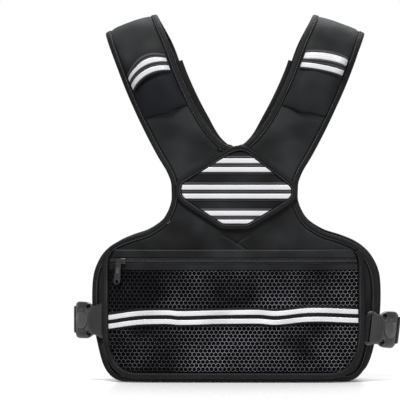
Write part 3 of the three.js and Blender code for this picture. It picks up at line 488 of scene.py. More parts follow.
def span_at(outline, down):
    """Left and right end of a closed outline at each of some heights."""
    start, end = outline, np.roll(outline, -1, axis=0)
    low, high = outline[:, 1].min() + 0.01, outline[:, 1].max() - 0.01
    lefts, rights = [], []
    for height in np.clip(np.atleast_1d(down), low, high):
        crossing = ((start[:, 1] - height) * (end[:, 1] - height) <= 0) & (start[:, 1] != end[:, 1])
        a, b = start[crossing], end[crossing]
        hits = mix(a[:, 0], b[:, 0], (height - a[:, 1]) / (b[:, 1] - a[:, 1]))
        lefts.append(hits.min())
        rights.append(hits.max())
    return np.array(lefts), np.array(rights)


def inset_outline(outline, inset):
    """A closed outline moved inwards, square to its sides."""
    one = unit(outline - np.roll(outline, 1, axis=0))
    two = unit(np.roll(outline, -1, axis=0) - outline)
    half = unit(np.stack([-one[:, 1] - two[:, 1], one[:, 0] + two[:, 0]], -1))
    square = np.abs(half[:, 0] * -one[:, 1] + half[:, 1] * one[:, 0])
    return outline + half * (inset / np.maximum(square, 0.5))[:, None]


def rounded_outline(outline, passes=2):
    """A closed outline with its corners cut at a quarter of each side, again and again."""
    for _ in range(passes):
        after = np.roll(outline, -1, axis=0)
        outline = np.stack([mix(outline, after, 0.25), mix(outline, after, 0.75)], 1).reshape(-1, 2)
    return outline


def put_mesh(name, points, faces, uv, material, slot, replaces):
    """A mesh object from arrays: points in millimetres, quads, and a place on the cloth for each
    point, in millimetres too. It rides on the vest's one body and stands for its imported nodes."""
    mesh = bpy.data.meshes.new(name)
    mesh.vertices.add(len(points))
    mesh.vertices.foreach_set("co", (np.asarray(points) * MM).ravel())
    mesh.loops.add(faces.size)
    mesh.loops.foreach_set("vertex_index", faces.ravel())
    mesh.polygons.add(len(faces))
    mesh.polygons.foreach_set("loop_start", np.arange(len(faces)) * 4)
    mesh.update(calc_edges=True)
    mesh.validate()
    if uv is not None:
        layer = mesh.uv_layers.new(name="cloth")
        layer.data.foreach_set("uv", (np.asarray(uv)[faces.ravel()] * MM).ravel())
    return put_object(name, mesh, material, replaces)


def put_object(name, mesh, material, replaces):
    mesh.polygons.foreach_set("use_smooth", np.full(len(mesh.polygons), True))
    mesh.materials.clear()
    mesh.materials.append(material)
    piece = bpy.data.objects.new(name, mesh)
    bpy.context.scene.collection.objects.link(piece)
    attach(piece, "root")
    if replaces:
        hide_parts(*replaces)
    return piece


def stripes(name, first, shape):
    """The two light stripes of a ribbon. Shape gives the body of the one on either side of its middle."""
    return [dress(f"{name}_{first + k}", shape(way), "stripe", "reflective", "tape")
            for k, way in enumerate((-1, 1))]


def dress(node, body, look, slot, ending="cloth"):
    """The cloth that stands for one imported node."""
    return put_mesh(f"{node}_{ending}", *body, MATERIALS[look], slot, [node])


def sew(name, line, pitch, width=1.0):
    """A row of stitches along a line of an edge tape."""
    put_mesh(f"{name}_stitches", *stitches(line, pitch, width), MATERIALS["thread"], "edge_tape", [])


def joined(bodies):
    """Several bodies as one set of points and faces."""
    points, faces, start = [], [], 0
    for more_points, more_faces in bodies:
        points.append(more_points)
        faces.append(more_faces + start)
        start += len(more_points)
    return np.concatenate(points), np.concatenate(faces)


def repeated(template, faces, centres, axes):
    """Copies of a small body: its points along three axes, given for each copy, from its centre."""
    points = centres[:, None, :] + np.einsum("pk,nkd->npd", template, axes)
    offsets = (np.arange(len(centres)) * len(template))[:, None, None]
    return points.reshape(-1, 3), (faces[None] + offsets).reshape(-1, 4)


# Materials

def node_group(name, inputs, outputs):
    """An empty shader node group with named sockets, and its input and output nodes."""
    group = bpy.data.node_groups.new(name, "ShaderNodeTree")
    for label, kind, value in inputs:
        socket = group.interface.new_socket(name=label, in_out="INPUT", socket_type=kind)
        if value is not None:
            socket.default_value = value
    for label, kind in outputs:
        group.interface.new_socket(name=label, in_out="OUTPUT", socket_type=kind)
    return group, group.nodes.new("NodeGroupInput"), group.nodes.new("NodeGroupOutput")


def wire(tree, source, target):
    tree.links.new(source, target)


def cooled(color, gain):
    """A colour made lighter or darker, with more blue in it."""
    return color[0] * gain, color[1] * gain, color[2] * gain * 1.3


def math_node(tree, operation, *values):
    """A Math node whose inputs are sockets or numbers; gives its output socket."""
    node = tree.nodes.new("ShaderNodeMath")
    node.operation = operation
    for k, value in enumerate(values):
        if hasattr(value, "links"):
            wire(tree, value, node.inputs[k])
        else:
            node.inputs[k].default_value = value
    return node.outputs[0]


def weave_group():
    """Threads that cross: two rows of rounded ribs, each on top in every second square. Pitch is the
    width of a thread in metres and slant turns the weave by a share of it."""
    group, given, made = node_group(
        "Weave",
        [("Vector", "NodeSocketVector", None), ("Pitch", "NodeSocketFloat", 0.001),
         ("Rib", "NodeSocketFloat", 0.5), ("Slant", "NodeSocketFloat", 0.0)],
        [("Height", "NodeSocketFloat"), ("Thread", "NodeSocketFloat")],
    )
    split = group.nodes.new("ShaderNodeSeparateXYZ")
    wire(group, given.outputs["Vector"], split.inputs[0])
    slanted = math_node(group, "MULTIPLY", split.outputs[0], given.outputs["Slant"])
    across = math_node(group, "DIVIDE", split.outputs[0], given.outputs["Pitch"])
    up = math_node(group, "DIVIDE", math_node(group, "ADD", split.outputs[1], slanted),
                   given.outputs["Pitch"])

    def wave(along):
        turn = math_node(group, "MULTIPLY", along, math.pi)
        return math_node(group, "ABSOLUTE", math_node(group, "SINE", turn))

    wave_a, wave_b = wave(across), wave(up)
    cell = math_node(group, "ADD", math_node(group, "FLOOR", across), math_node(group, "FLOOR", up))
    turn = math_node(group, "PINGPONG", cell, 1.0)
    rest = math_node(group, "SUBTRACT", 1.0, given.outputs["Rib"])
    share = math_node(group, "ADD", math_node(group, "MULTIPLY", turn, rest), given.outputs["Rib"])
    one = math_node(group, "MULTIPLY", wave_a, share)
    two = math_node(group, "MULTIPLY", wave_b, math_node(group, "SUBTRACT", 1.0, share))
    wire(group, math_node(group, "MAXIMUM", one, two), made.inputs["Height"])
    wire(group, turn, made.inputs["Thread"])
    return group


def fleck_group():
    """Slow and fine variation of a cloth: one number that drifts over a hand's width and one that
    changes from thread to thread."""
    group, given, made = node_group(
        "Fleck",
        [("Vector", "NodeSocketVector", None), ("Fine", "NodeSocketFloat", 900.0),
         ("Slow", "NodeSocketFloat", 14.0)],
        [("Drift", "NodeSocketFloat"), ("Grain", "NodeSocketFloat")],
    )
    for label, scale, detail in (("Drift", "Slow", 2.0), ("Grain", "Fine", 3.0)):
        noise = group.nodes.new("ShaderNodeTexNoise")
        noise.inputs["Detail"].default_value = detail
        wire(group, given.outputs["Vector"], noise.inputs["Vector"])
        wire(group, given.outputs[scale], noise.inputs["Scale"])
        wire(group, noise.outputs["Fac"], made.inputs[label])
    return group


def material_of(name, color, roughness, sheen=0.0, specular=0.5):
    """A material with its shader, and the constants that the export keeps set on its sockets."""
    material = bpy.data.materials.new(name)
    material.use_nodes = True
    tree = material.node_tree
    shader = tree.nodes["Principled BSDF"]
    shader.inputs["Base Color"].default_value = (*color, 1)
    shader.inputs["Roughness"].default_value = roughness
    shader.inputs["Specular IOR Level"].default_value = specular
    shader.inputs["Sheen Weight"].default_value = sheen
    shader.inputs["Sheen Roughness"].default_value = 0.5
    shader.inputs["Coat Weight"].default_value = 0
    return material, tree, shader


def colour_ramp(tree, factor, stops):
    """A colour ramp with stops at given places."""
    ramp = tree.nodes.new("ShaderNodeValToRGB")
    wire(tree, factor, ramp.inputs["Fac"])
    ramp.color_ramp.elements[0].position = stops[0][0]
    ramp.color_ramp.elements[0].color = (*stops[0][1], 1)
    ramp.color_ramp.elements[1].position = stops[-1][0]
    ramp.color_ramp.elements[1].color = (*stops[-1][1], 1)
    for place, color in stops[1:-1]:
        ramp.color_ramp.elements.new(place).color = (*color, 1)
    return ramp.outputs["Color"]


def bumped(tree, shader, height, strength, distance):
    bump = tree.nodes.new("ShaderNodeBump")
    bump.inputs["Strength"].default_value = strength
    bump.inputs["Distance"].default_value = distance
    wire(tree, height, bump.inputs["Height"])
    wire(tree, bump.outputs["Normal"], shader.inputs["Normal"])


def tinted(color, share):
    return tuple(min(c * share, 1) for c in color)


def cloth_material(name, color, pitch, rib=0.5, slant=0.0, roughness=0.85, sheen=0.0, depth=0.15,
                   drift=1.0, stretch=(1, 1), specular=0.2):
    """Woven or knitted cloth on the piece's own cloth coordinates: threads in relief, with painted shade
    between them and painted light on their crowns, flecks from thread to thread and a slow drift of tone,
    partly random and partly painted patches of light and shade."""
    material, tree, shader = material_of(name, color, roughness, sheen, specular=specular)
    place = tree.nodes.new("ShaderNodeUVMap")
    place.uv_map = "cloth"
    scaled = tree.nodes.new("ShaderNodeMapping")
    scaled.inputs["Scale"].default_value = (*stretch, 1)
    wire(tree, place.outputs["UV"], scaled.inputs["Vector"])
    weave = tree.nodes.new("ShaderNodeGroup")
    weave.node_tree = bpy.data.node_groups["Weave"]
    weave.inputs["Pitch"].default_value = pitch * MM
    weave.inputs["Rib"].default_value = rib
    weave.inputs["Slant"].default_value = slant
    wire(tree, scaled.outputs["Vector"], weave.inputs["Vector"])
    fleck = tree.nodes.new("ShaderNodeGroup")
    fleck.node_tree = bpy.data.node_groups["Fleck"]
    wire(tree, place.outputs["UV"], fleck.inputs["Vector"])
    # Slow drift of tone: partly random, partly painted patches of light and shade on the cloth
    slow = math_node(tree, "MULTIPLY_ADD", fleck.outputs["Drift"], drift, 0.5 - drift / 2)
    fine = math_node(tree, "MULTIPLY_ADD", fleck.outputs["Grain"], 0.35, -0.175)
    # Painted shade between the threads and painted light on their crowns: the weave's relief sets the tone
    height = math_node(tree, "MULTIPLY_ADD", weave.outputs["Height"], 0.45, -0.27)
    tone = math_node(tree, "ADD", math_node(tree, "ADD", slow, fine), height)
    shades = [(0.05, tinted(color, 0.12)), (0.5, color), (0.95, tinted(color, 2.4))]
    wire(tree, colour_ramp(tree, tone, shades), shader.inputs["Base Color"])
    grain = math_node(tree, "MULTIPLY", fleck.outputs["Grain"], 0.3)
    relief = math_node(tree, "ADD", weave.outputs["Height"], grain)
    bumped(tree, shader, relief, 0.6, depth * MM)
    return material


def tone_of(material):
    """What a change of a cloth's tone works on: the tree, the ramp's input, what feeds it so far and
    the places across the cloth and down it."""
    tree = material.node_tree
    ramp = next(n for n in tree.nodes if n.bl_idname == "ShaderNodeValToRGB")
    place = next(n for n in tree.nodes if n.bl_idname == "ShaderNodeUVMap")
    split = tree.nodes.new("ShaderNodeSeparateXYZ")
    wire(tree, place.outputs["UV"], split.inputs[0])
    return tree, ramp.inputs["Fac"], ramp.inputs["Fac"].links[0].from_socket, split.outputs


def light_and_shade_graded(material, across, down):
    """Paints slow changes of light and shade into a cloth's tone: each is the place where it starts, where
    it ends and how much the tone gains, across the cloth and down it."""
    tree, factor, tone, places = tone_of(material)
    for socket, (start, end, gain) in zip(places, (across, down)):
        share = tree.nodes.new("ShaderNodeMapRange")
        share.interpolation_type = "SMOOTHSTEP"
        wire(tree, socket, share.inputs["Value"])
        for label, value in (("From Min", start), ("From Max", end), ("To Min", 0), ("To Max", gain)):
            share.inputs[label].default_value = value
        tone = math_node(tree, "ADD", tone, share.outputs["Result"])
    wire(tree, math_node(tree, "SUBTRACT", tone, max(across[2], 0)), factor)
    return material


def groove_shaded(material, lines):
    """Painted groove shade, as dark lines along a cloth: each is its middle and half its width, down it, in
    mm.
    """
    tree, factor, tone, places = tone_of(material)
    for middle, half in lines:
        inside = math_node(tree, "COMPARE", places[1], middle * MM, half * MM)
        tone = math_node(tree, "MULTIPLY_ADD", inside, -0.5, tone)
    wire(tree, tone, factor)
    return material


def ribbed(material, pitch, gain):
    """Ribs along a cloth: the tone rises by the gain between lines that lie a pitch apart, in mm."""
    tree, factor, tone, places = tone_of(material)
    turn = math_node(tree, "MULTIPLY", places[1], math.pi / (pitch * MM))
    rib = math_node(tree, "ABSOLUTE", math_node(tree, "SINE", turn))
    tone = math_node(tree, "MULTIPLY_ADD", rib, gain, tone)
    wire(tree, math_node(tree, "SUBTRACT", tone, gain * MEAN_SINE), factor)
    return material


def reflective_material(color):
    """Glass bead tape: pale grey, pressed with a fine diamond grid and a little glossy."""
    material = cloth_material("reflective_tape", color, 0.9, rib=0.5, slant=1.0, roughness=0.5,
                              depth=0.06, drift=0.8)
    shader = material.node_tree.nodes["Principled BSDF"]
    shader.inputs["Specular IOR Level"].default_value = 0.6
    shader.inputs["Coat Weight"].default_value = 0.15
    ramp = next(n for n in material.node_tree.nodes if n.bl_idname == "ShaderNodeValToRGB")
    for element, share in zip(ramp.color_ramp.elements, (0.78, 0.95, 1.06)):
        element.color = (*tinted(color, share), 1)
    return material


def stage_quad(name, corners):
    """A plain four-sided mesh of the stage, and its object."""
    mesh = bpy.data.meshes.new(name)
    mesh.from_pydata(corners, [], [(0, 1, 2, 3)])
    holder = bpy.data.objects.new(name, mesh)
    bpy.context.scene.collection.objects.link(holder)
    return mesh, holder


def plastic_material(name, color, roughness):
    """Moulded plastic on object coordinates: a spark-eroded grain, a slow change of gloss, painted
    highlights where the surface is convex and painted shade where it is concave."""
    material, tree, shader = material_of(name, color, roughness)
    place = tree.nodes.new("ShaderNodeTexCoord")
    fleck = tree.nodes.new("ShaderNodeGroup")
    fleck.node_tree = bpy.data.node_groups["Fleck"]
    fleck.inputs["Fine"].default_value = 2600.0
    fleck.inputs["Slow"].default_value = 60.0
    wire(tree, place.outputs["Object"], fleck.inputs["Vector"])
    geometry = tree.nodes.new("ShaderNodeNewGeometry")
    # Painted highlight on convex edges and painted shade in hollows, from the surface's pointiness
    edge_highlight_hollow_shade = math_node(tree, "MULTIPLY", math_node(tree, "SUBTRACT", geometry.outputs["Pointiness"], 0.5), 2.0)
    tone = math_node(tree, "ADD", math_node(tree, "MULTIPLY", fleck.outputs["Drift"], 0.6), edge_highlight_hollow_shade)
    shades = [(0.1, tinted(color, 0.75)), (0.45, color), (0.9, tinted(color, 2.2))]
    wire(tree, colour_ramp(tree, tone, shades), shader.inputs["Base Color"])
    gloss = math_node(tree, "ADD", roughness - 0.1, math_node(tree, "MULTIPLY", fleck.outputs["Drift"], 0.2))
    wire(tree, gloss, shader.inputs["Roughness"])
    bumped(tree, shader, fleck.outputs["Grain"], 0.35, PLASTIC_GRAIN * MM)
    return material


def make_materials(colours):
    weave_group()
    fleck_group()
    return {
        # Painted light: a strong slow drift paints patches of light and shade on the body's cloth
        "pad": cloth_material("laminated_knit", colours.pad, 0.42, depth=0.08, roughness=0.6, drift=2.6,
                              specular=0.14),
        # Painted shade: dark lines along the tape stand for the shade in its pressed grooves
        "tape": groove_shaded(cloth_material("ribbed_tape", colours.tape, 0.75, rib=0.8, depth=0.25, roughness=0.55,
                                     stretch=(1, 0.4), specular=0.12), [(0.6, 0.65), (3.3, 0.6)]),
        # Painted light: one cloth for both pouches, the right one made nearly twice as light as the left
        "pouch_left": cloth_material("pouch_left_knit", cooled(colours.pad, 0.95), 0.42,
                                     depth=0.08, roughness=0.55,
                                specular=0.12),
        "pouch_right": cloth_material("pouch_right_knit", tinted(colours.pad, 1.9), 0.42,
                                      depth=0.08, roughness=0.55,
                                specular=0.12),
        "ribbon": ribbed(cloth_material("woven_ribbon", colours.ribbon, 0.55, rib=0.7, depth=0.15,
                                        roughness=0.7, specular=0.14), 3.1, 0.9),
        # Painted light: the straps' cloth is the body's cloth made lighter, and lighter still lower down the
        # front
        "strap": light_and_shade_graded(cloth_material("strap_knit", tinted(colours.pad, 1.15), 0.42, depth=0.08,
                                       roughness=0.6, drift=2.6, specular=0.14),
                        (0, 1, 0), (-0.09, -0.17, 0.32)),
        # Painted shade: the pocket's ribbon is the ribbon's own weave made far darker
        "dark_ribbon": cloth_material("dark_ribbon", tinted(colours.ribbon, 0.17), 0.55, rib=0.7,
                                      depth=0.15, roughness=0.7, specular=0.1),
        "stripe": ribbed(reflective_material(colours.stripe), 2.3, 0.5),
        # Painted shade and light: the net is darker to the left and lighter lower down
        "net": light_and_shade_graded(cloth_material("net_yarn", colours.net, 0.4, depth=0.1, roughness=0.34, drift=2.5,
                                     specular=0.25), (-0.17, -0.03, 0.6), (0.36, 0.47, 0.25)),
        "lining": cloth_material("pocket_lining", colours.lining, 0.5, depth=0.06, roughness=0.9,
                                 specular=0.05),
        "zip_tape": cloth_material("zip_tape_weave", colours.zip, 0.6, rib=0.6, depth=0.1),
        "coil": plastic_material("nylon_coil", colours.coil, 0.42),
        "plastic": plastic_material("moulded_plastic", colours.plastic, 0.28),
        "webbing": cloth_material("flat_webbing", colours.webbing, 1.3, rib=0.55, slant=0.5, depth=0.3,
                                  sheen=0.03, roughness=0.7),
        "thread": cloth_material("sewing_thread", colours.thread, 0.25, slant=1.0, depth=0.1, roughness=0.7),
    }


MATERIALS = {}


# Body: lower panels, straps and the back panel's legs

CREASES = table("x down to_x to_down depth", [
    (-18.0, 304.0, 3.0, 316.0, 1.5),
    (20.0, 305.0, 3.0, 316.0, 1.3),
    (3.0, 316.0, 24.0, 330.0, 1.3),
])


def crease(x, down):
    """Grooves along short lines: each is a Gaussian of the distance to its line."""
    total = 0
    for k in range(len(CREASES["x"])):
        start = np.array([CREASES["x"][k], CREASES["down"][k]])
        reach = np.array([CREASES["to_x"][k], CREASES["to_down"][k]]) - start
        away = np.stack([x - start[0], down - start[1]], -1)
        share = np.clip((away @ reach) / (reach @ reach), 0, 1)
        distance = np.linalg.norm(away - share[..., None] * reach, axis=-1)
        total = total - CREASES["depth"][k] * np.exp(-((distance / 1.3) ** 2))
    return total


def lower_panel(side):
    """The lower panel between its tapes: rows follow the edge's shares, each from flank to flank. The
    face swells by a millimetre away from the tape and ripples slowly."""
    shares = np.linspace(0, 0.985, 130)
    point, inward = panel_edge(shares)
    half = point[:, 0] + inward[:, 0] * (TAPE + GAP)
    down = np.clip(point[:, 1] + inward[:, 1] * (TAPE + GAP), STRAP_EDGES["outer_down"][-1] * DROP + GAP / 2,
                   DROP - TAPE - GAP)
    down = np.maximum.accumulate(down + np.arange(len(down)) * 1e-4)
    across = np.linspace(-1, 1, 190)
    x = half[:, None] * across
    z = np.broadcast_to(down[:, None], x.shape)
    edge = smooth(1 - np.abs(across), 0, 0.06) * np.ones_like(x)
    waves = [(0.35, 170, 90, 0.4), (0.25, -75, 130, 1.9), (0.15, 48, -60, 2.7)]
    relief = edge * (0.7 + ripple(x, z, waves))
    if side < 0:
        relief = relief + crease(x, z)
    outer = on_panel(side, x, z, PAD - 0.5 + relief)
    inner = on_panel(side, x, z, 0.3 - relief * 0.4)
    return sheet_of(outer, inner, x, z)


def strap_pad(hand, falls, places, standing, spread):
    """A strap's pad: above the neck point it spans from tape to tape, below it it meets the centre
    line, where the other strap's pad begins."""
    mirror = -1 if hand == "left" else 1
    inset = TAPE + GAP
    waist = STRAP_EDGES["outer_down"][-1] * DROP - GAP / 2
    point = float(cubic(STRAP_EDGES, NECK_POINT)["inner_down"]) * DROP + inset * 1.15
    across = np.linspace(0, 1, 44)
    along = np.asarray(places, float)
    row = strap_row(along, spread)
    start = strap_inset(along, inset, "outer", spread)
    end = 1 - strap_inset(along, inset, "inner", spread)
    low = strap_stand(along) if standing else np.zeros_like(along)
    share = mix(start[:, None], end[:, None], across)
    edge = smooth(np.minimum(across, 1 - across), 0, 0.12)
    waves = [(0.3, 120, 1.1, 0.3), (0.22, -64, 0.7, 1.2)]
    relief = edge * (0.6 + ripple(along[:, None], across, waves))

    def at(lift):
        return on_strap(hand, along[:, None], share, low[:, None] + lift, spread)

    outer, inner = at(PAD - 0.5 + relief), at(0.3 - relief * 0.3)
    side = 1 if falls[0] > 0 else -1
    depths = np.abs(falls)
    below = strap_row(along_at(depths, side), spread)
    toe = mix(below["outer"], below["inner"],
              strap_inset(along_at(depths, side), inset, "outer", spread)[:, None])
    toe[:, 1] = np.minimum(toe[:, 1], waist)
    fall_share = (depths / STRAP_LENGTH - NECK_POINT) / (1 - NECK_POINT)
    heel = np.minimum(np.maximum(below["inner"][:, 1], mix(point, waist, fall_share)), waist)
    heel = np.stack([np.full(len(depths), GAP / 2), heel], -1)
    place = mix(toe[:, None], heel[:, None], across[:, None])
    low_relief = edge * np.ones(len(depths))[:, None] * 0.6
    foot_outer = on_panel(side, mirror * place[..., 0], place[..., 1], PAD - 0.5 + low_relief)
    foot_inner = on_panel(side, mirror * place[..., 0], place[..., 1], 0.3 - low_relief * 0.3)
    outer, inner = np.concatenate([foot_outer, outer]), np.concatenate([foot_inner, inner])
    length = np.concatenate([along_at(depths, side), along])
    return sheet_of(outer, inner, across * 60, length[:, None])


def strap_places(side):
    """Places along a strap's pad from just above the neck point to its end."""
    if side < 0:
        return np.linspace(along_at(207, -1), along_at(TAIL_END, 1), 230)
    return np.linspace(along_at(207, 1), along_at(LEG_TOP, 1), 90)


# Edge tape

def tape_profile(width, low, high, crown=0.0):
    """The section of a folded tape as inset and lift: crowned by a parabola, pressed down by its
    stitches, and round over the cut edge."""
    angle = np.linspace(-np.pi / 2, np.pi / 2, 9)
    middle, reach = (low + high) / 2, (high - low) / 2
    turn = width * 0.24
    edge_inset = turn * (1 - np.cos(angle) ** 0.8)
    edge_lift = middle + reach * np.sin(angle)
    flat = np.array([1.0, 0.88, 0.77, 0.66, 0.5, 0.38])
    press = np.array([-0.5, -0.12, -0.42, -0.1, 0.0, 0.0])
    inset = np.concatenate([flat * width, edge_inset, flat[::-1] * width])
    lift = np.concatenate([low - press, edge_lift, high + press[::-1]])
    outer = np.arange(len(lift)) > len(lift) / 2
    return inset, lift + crown * outer * (1 - (2 * inset / width - 1) ** 2)


def girth_of(inset, lift):
    """The length round a section from its last point back to each of the others."""
    return np.append(np.cumsum(np.hypot(np.diff(inset), np.diff(lift))[::-1])[::-1], 0)


def tape_body(stations, width=TAPE, low=-PROUD, high=PAD + PROUD, crown=0.3):
    """A tape carried along stations: stations(inset, lift) gives its points for arrays that run along
    the second axis. Its cloth coordinates are the lengths along the edge and round the section."""
    inset, lift = tape_profile(width, low, high, crown)
    loops = stations(inset[None, :], lift[None, :])
    length = lengths_of(loops[:, len(inset) // 2])
    return *tube(loops), cloth_grid(length[:, None], girth_of(inset, lift))


def strap_station(hand, edge, places, standing, spread):
    def place(inset, lift):
        along = np.asarray(places, float)[:, None]
        share = strap_inset(along, inset, edge, spread)
        across = share if edge == "outer" else 1 - share
        stand = strap_stand(along) if standing else 0
        return on_strap(hand, along, across, lift + stand, spread)

    return place


def panel_station(side, mirror, shares):
    def place(inset, lift):
        point, inward = panel_edge(shares)
        x = point[:, 0, None] + inward[:, 0, None] * inset
        return on_panel(side, mirror * x, point[:, 1, None] + inward[:, 1, None] * inset, lift)

    return place


def hem_station(side, mirror, places):
    def place(inset, lift):
        return on_panel(side, mirror * np.asarray(places, float)[:, None], DROP - inset, lift)

    return place


def chained(stations):
    """Several runs of stations, one after the other."""
    return lambda inset, lift: np.concatenate([part(inset, lift) for part in stations])


def outer_stations(side):
    """Round an armhole, down the flank, along the hem and up the other side."""
    front = side < 0
    spread = TAIL_SPREAD if front else LEG_SPREAD
    stop = along_at(TAIL_END, 1) if front else along_at(LEG_TOP, 1)
    places = np.linspace(stop, along_at(234, side), 190 if front else 70)
    shares = np.linspace(0.02, 0.96, 150)
    hem = np.linspace(128, 4, 24)
    parts = []
    for hand, mirror in (("left", -1), ("right", 1)):
        order = 1 if mirror < 0 else -1
        strap = strap_station(hand, "outer", places[::order], front, spread)
        panel = panel_station(side, mirror, shares[::order])
        bottom = hem_station(side, mirror, hem[::order])
        parts.append([strap, panel, bottom][::order])
    return chained(parts[0] + parts[1])


def neck_stations(side):
    """Down one strap's inner edge to the neck point and up the other's."""
    front = side < 0
    spread = TAIL_SPREAD if front else LEG_SPREAD
    stop = along_at(TAIL_END, 1) if front else along_at(LEG_TOP, 1)
    places = np.linspace(stop, along_at(209, side), 190 if front else 70)
    point = float(cubic(STRAP_EDGES, NECK_POINT)["inner_down"]) * DROP

    def middle(inset, lift):
        return on_panel(side, np.zeros((1, 1)), point + inset, lift)

    left = strap_station("left", "inner", places, front, spread)
    right = strap_station("right", "inner", places[::-1], front, spread)
    return chained([left, middle, right])


def stitches(line, pitch, width=1.0):
    """Sewn stitches along a row of points with normals: each is a small spindle, round in section,
    that dips into the cloth at both ends."""
    points, normals = line
    length = lengths_of(points)
    at = np.arange(pitch / 2, length[-1] - pitch / 2, pitch)

    def between(values, places):
        return np.stack([np.interp(places, length, values[:, k]) for k in range(3)], -1)

    centres = between(points, at)
    up = unit(between(normals, at))
    run = unit(between(points, at + 0.4) - centres)
    beside = np.cross(run, up)
    reach = pitch * 0.4
    rings = np.array([-1.0, -0.62, 0.0, 0.62, 1.0])
    angle = np.arange(6) / 6 * 2 * np.pi
    thick = np.array([0.25, 0.85, 1.0, 0.85, 0.25])[:, None] * width / 2
    dip = (-0.9 * rings**2 * width * 0.5)[:, None]
    rise = thick * np.sin(angle) * 0.8 + dip + width * 0.25 - STITCH_SINK
    template = stack(rings[:, None] * reach, thick * np.cos(angle), rise)
    _, faces = tube(template)
    axes = np.stack([run, beside, up], 1)
    body = repeated(template.reshape(-1, 3), facing_out(template.reshape(-1, 3), faces), centres, axes)
    return *body, body[0][:, [0, 2]]


def line_on(stations, inset, lift):
    """A line of points with their normals along a tape or a sheet."""
    low = stations(np.array([[inset]]), np.array([[lift]]))[:, 0]
    high = stations(np.array([[inset]]), np.array([[lift + 1.0]]))[:, 0]
    return low, unit(high - low)


# Pocket

def pocket_bulge(x, down):
    """Share of the pocket's soft bulge, which falls to nothing at its edge."""
    across = np.clip(np.abs(x - POCKET["shift"]) / POCKET["half"], 0, 1)
    fall = np.clip((down - POCKET["top"]) / POCKET["height"], 0, 1)
    return (1 - across**4) * np.maximum(np.sin(np.pi * fall), 0) ** 0.7


def pocket_rise(x, down):
    """How far the pocket's cloth stands off: a soft bulge, and a lift where webbing runs in."""
    bulge = POCKET_BULGE * pocket_bulge(x, down)
    lifts = []
    for mirror, fit in zip((-1, 1), BUCKLE.values()):
        near = smooth(mirror * x, fit["start"] - BUCKLE_LIFT, fit["start"] - WEBBING_TUCK - BUCKLE_HALF / 4)
        beside = 1 - smooth(np.abs(down - fit["drop"]), BUCKLE_HALF, BUCKLE_HALF + BUCKLE_REACH)
        lifts.append(near * beside * POCKET_LIFT)
    return bulge + np.maximum(*lifts)


def on_pocket(x, down, lift):
    """Points on the pocket's cloth. The cloth rises straight to the front, so its outline stays."""
    rise = pocket_rise(np.asarray(x, float), np.asarray(down, float))
    return on_panel(-1, x, down, ON_TOP + lift) - stack(0, rise, 0)


def pocket_station(inset, lift):
    shares = np.linspace(0, 1, 120)
    point, inward = edge_of(POCKET_EDGE, shares, POCKET["half"], POCKET["height"], POCKET["top"])
    halves = []
    for mirror in (1, -1):
        x = POCKET["shift"] + mirror * (point[:, 0, None] + inward[:, 0, None] * inset)
        half = on_pocket(x, point[:, 1, None] + inward[:, 1, None] * inset, lift)
        halves.append(half if mirror > 0 else half[::-1])
    return np.concatenate(halves)


def pocket_inner(inset=TAPE + GAP):
    """The line inside the pocket's tape as a closed outline."""
    point, inward = edge_of(POCKET_EDGE, np.linspace(0, 1, 80), POCKET["half"],
                            POCKET["height"], POCKET["top"])
    side = point + inward * inset
    side = np.concatenate([[side[0] + (side[0] - side[8])], side])
    right = side + [POCKET["shift"], 0]
    left = side[::-1] * [-1, 1] + [POCKET["shift"], 0]
    return np.concatenate([right, left])


def pocket_ripple(x, down):
    """Slow folds of the net, which fade towards the pocket's edge."""
    top = POCKET["top"] + BAND_TOP + ZIP["width"] + BAND_BOTTOM
    return pocket_bulge(x, down) * smooth(down, top, top + 30) * ripple(x, down, POCKET_WAVES)


def pocket_sheet(downs, low, thick, wave=0.0):
    """Cloth across the pocket between two heights, trimmed by its tape."""
    left, right = span_at(pocket_inner(), downs)
    across = np.linspace(0, 1, 220)
    x = mix(left[:, None], right[:, None], across)
    z = np.broadcast_to(np.asarray(downs)[:, None], x.shape)
    edge = smooth(np.minimum(across, 1 - across), 0, 0.05)
    relief = wave * edge * pocket_ripple(x, z)
    return sheet_of(on_pocket(x, z, low + thick + relief), on_pocket(x, z, low + relief), x, z)


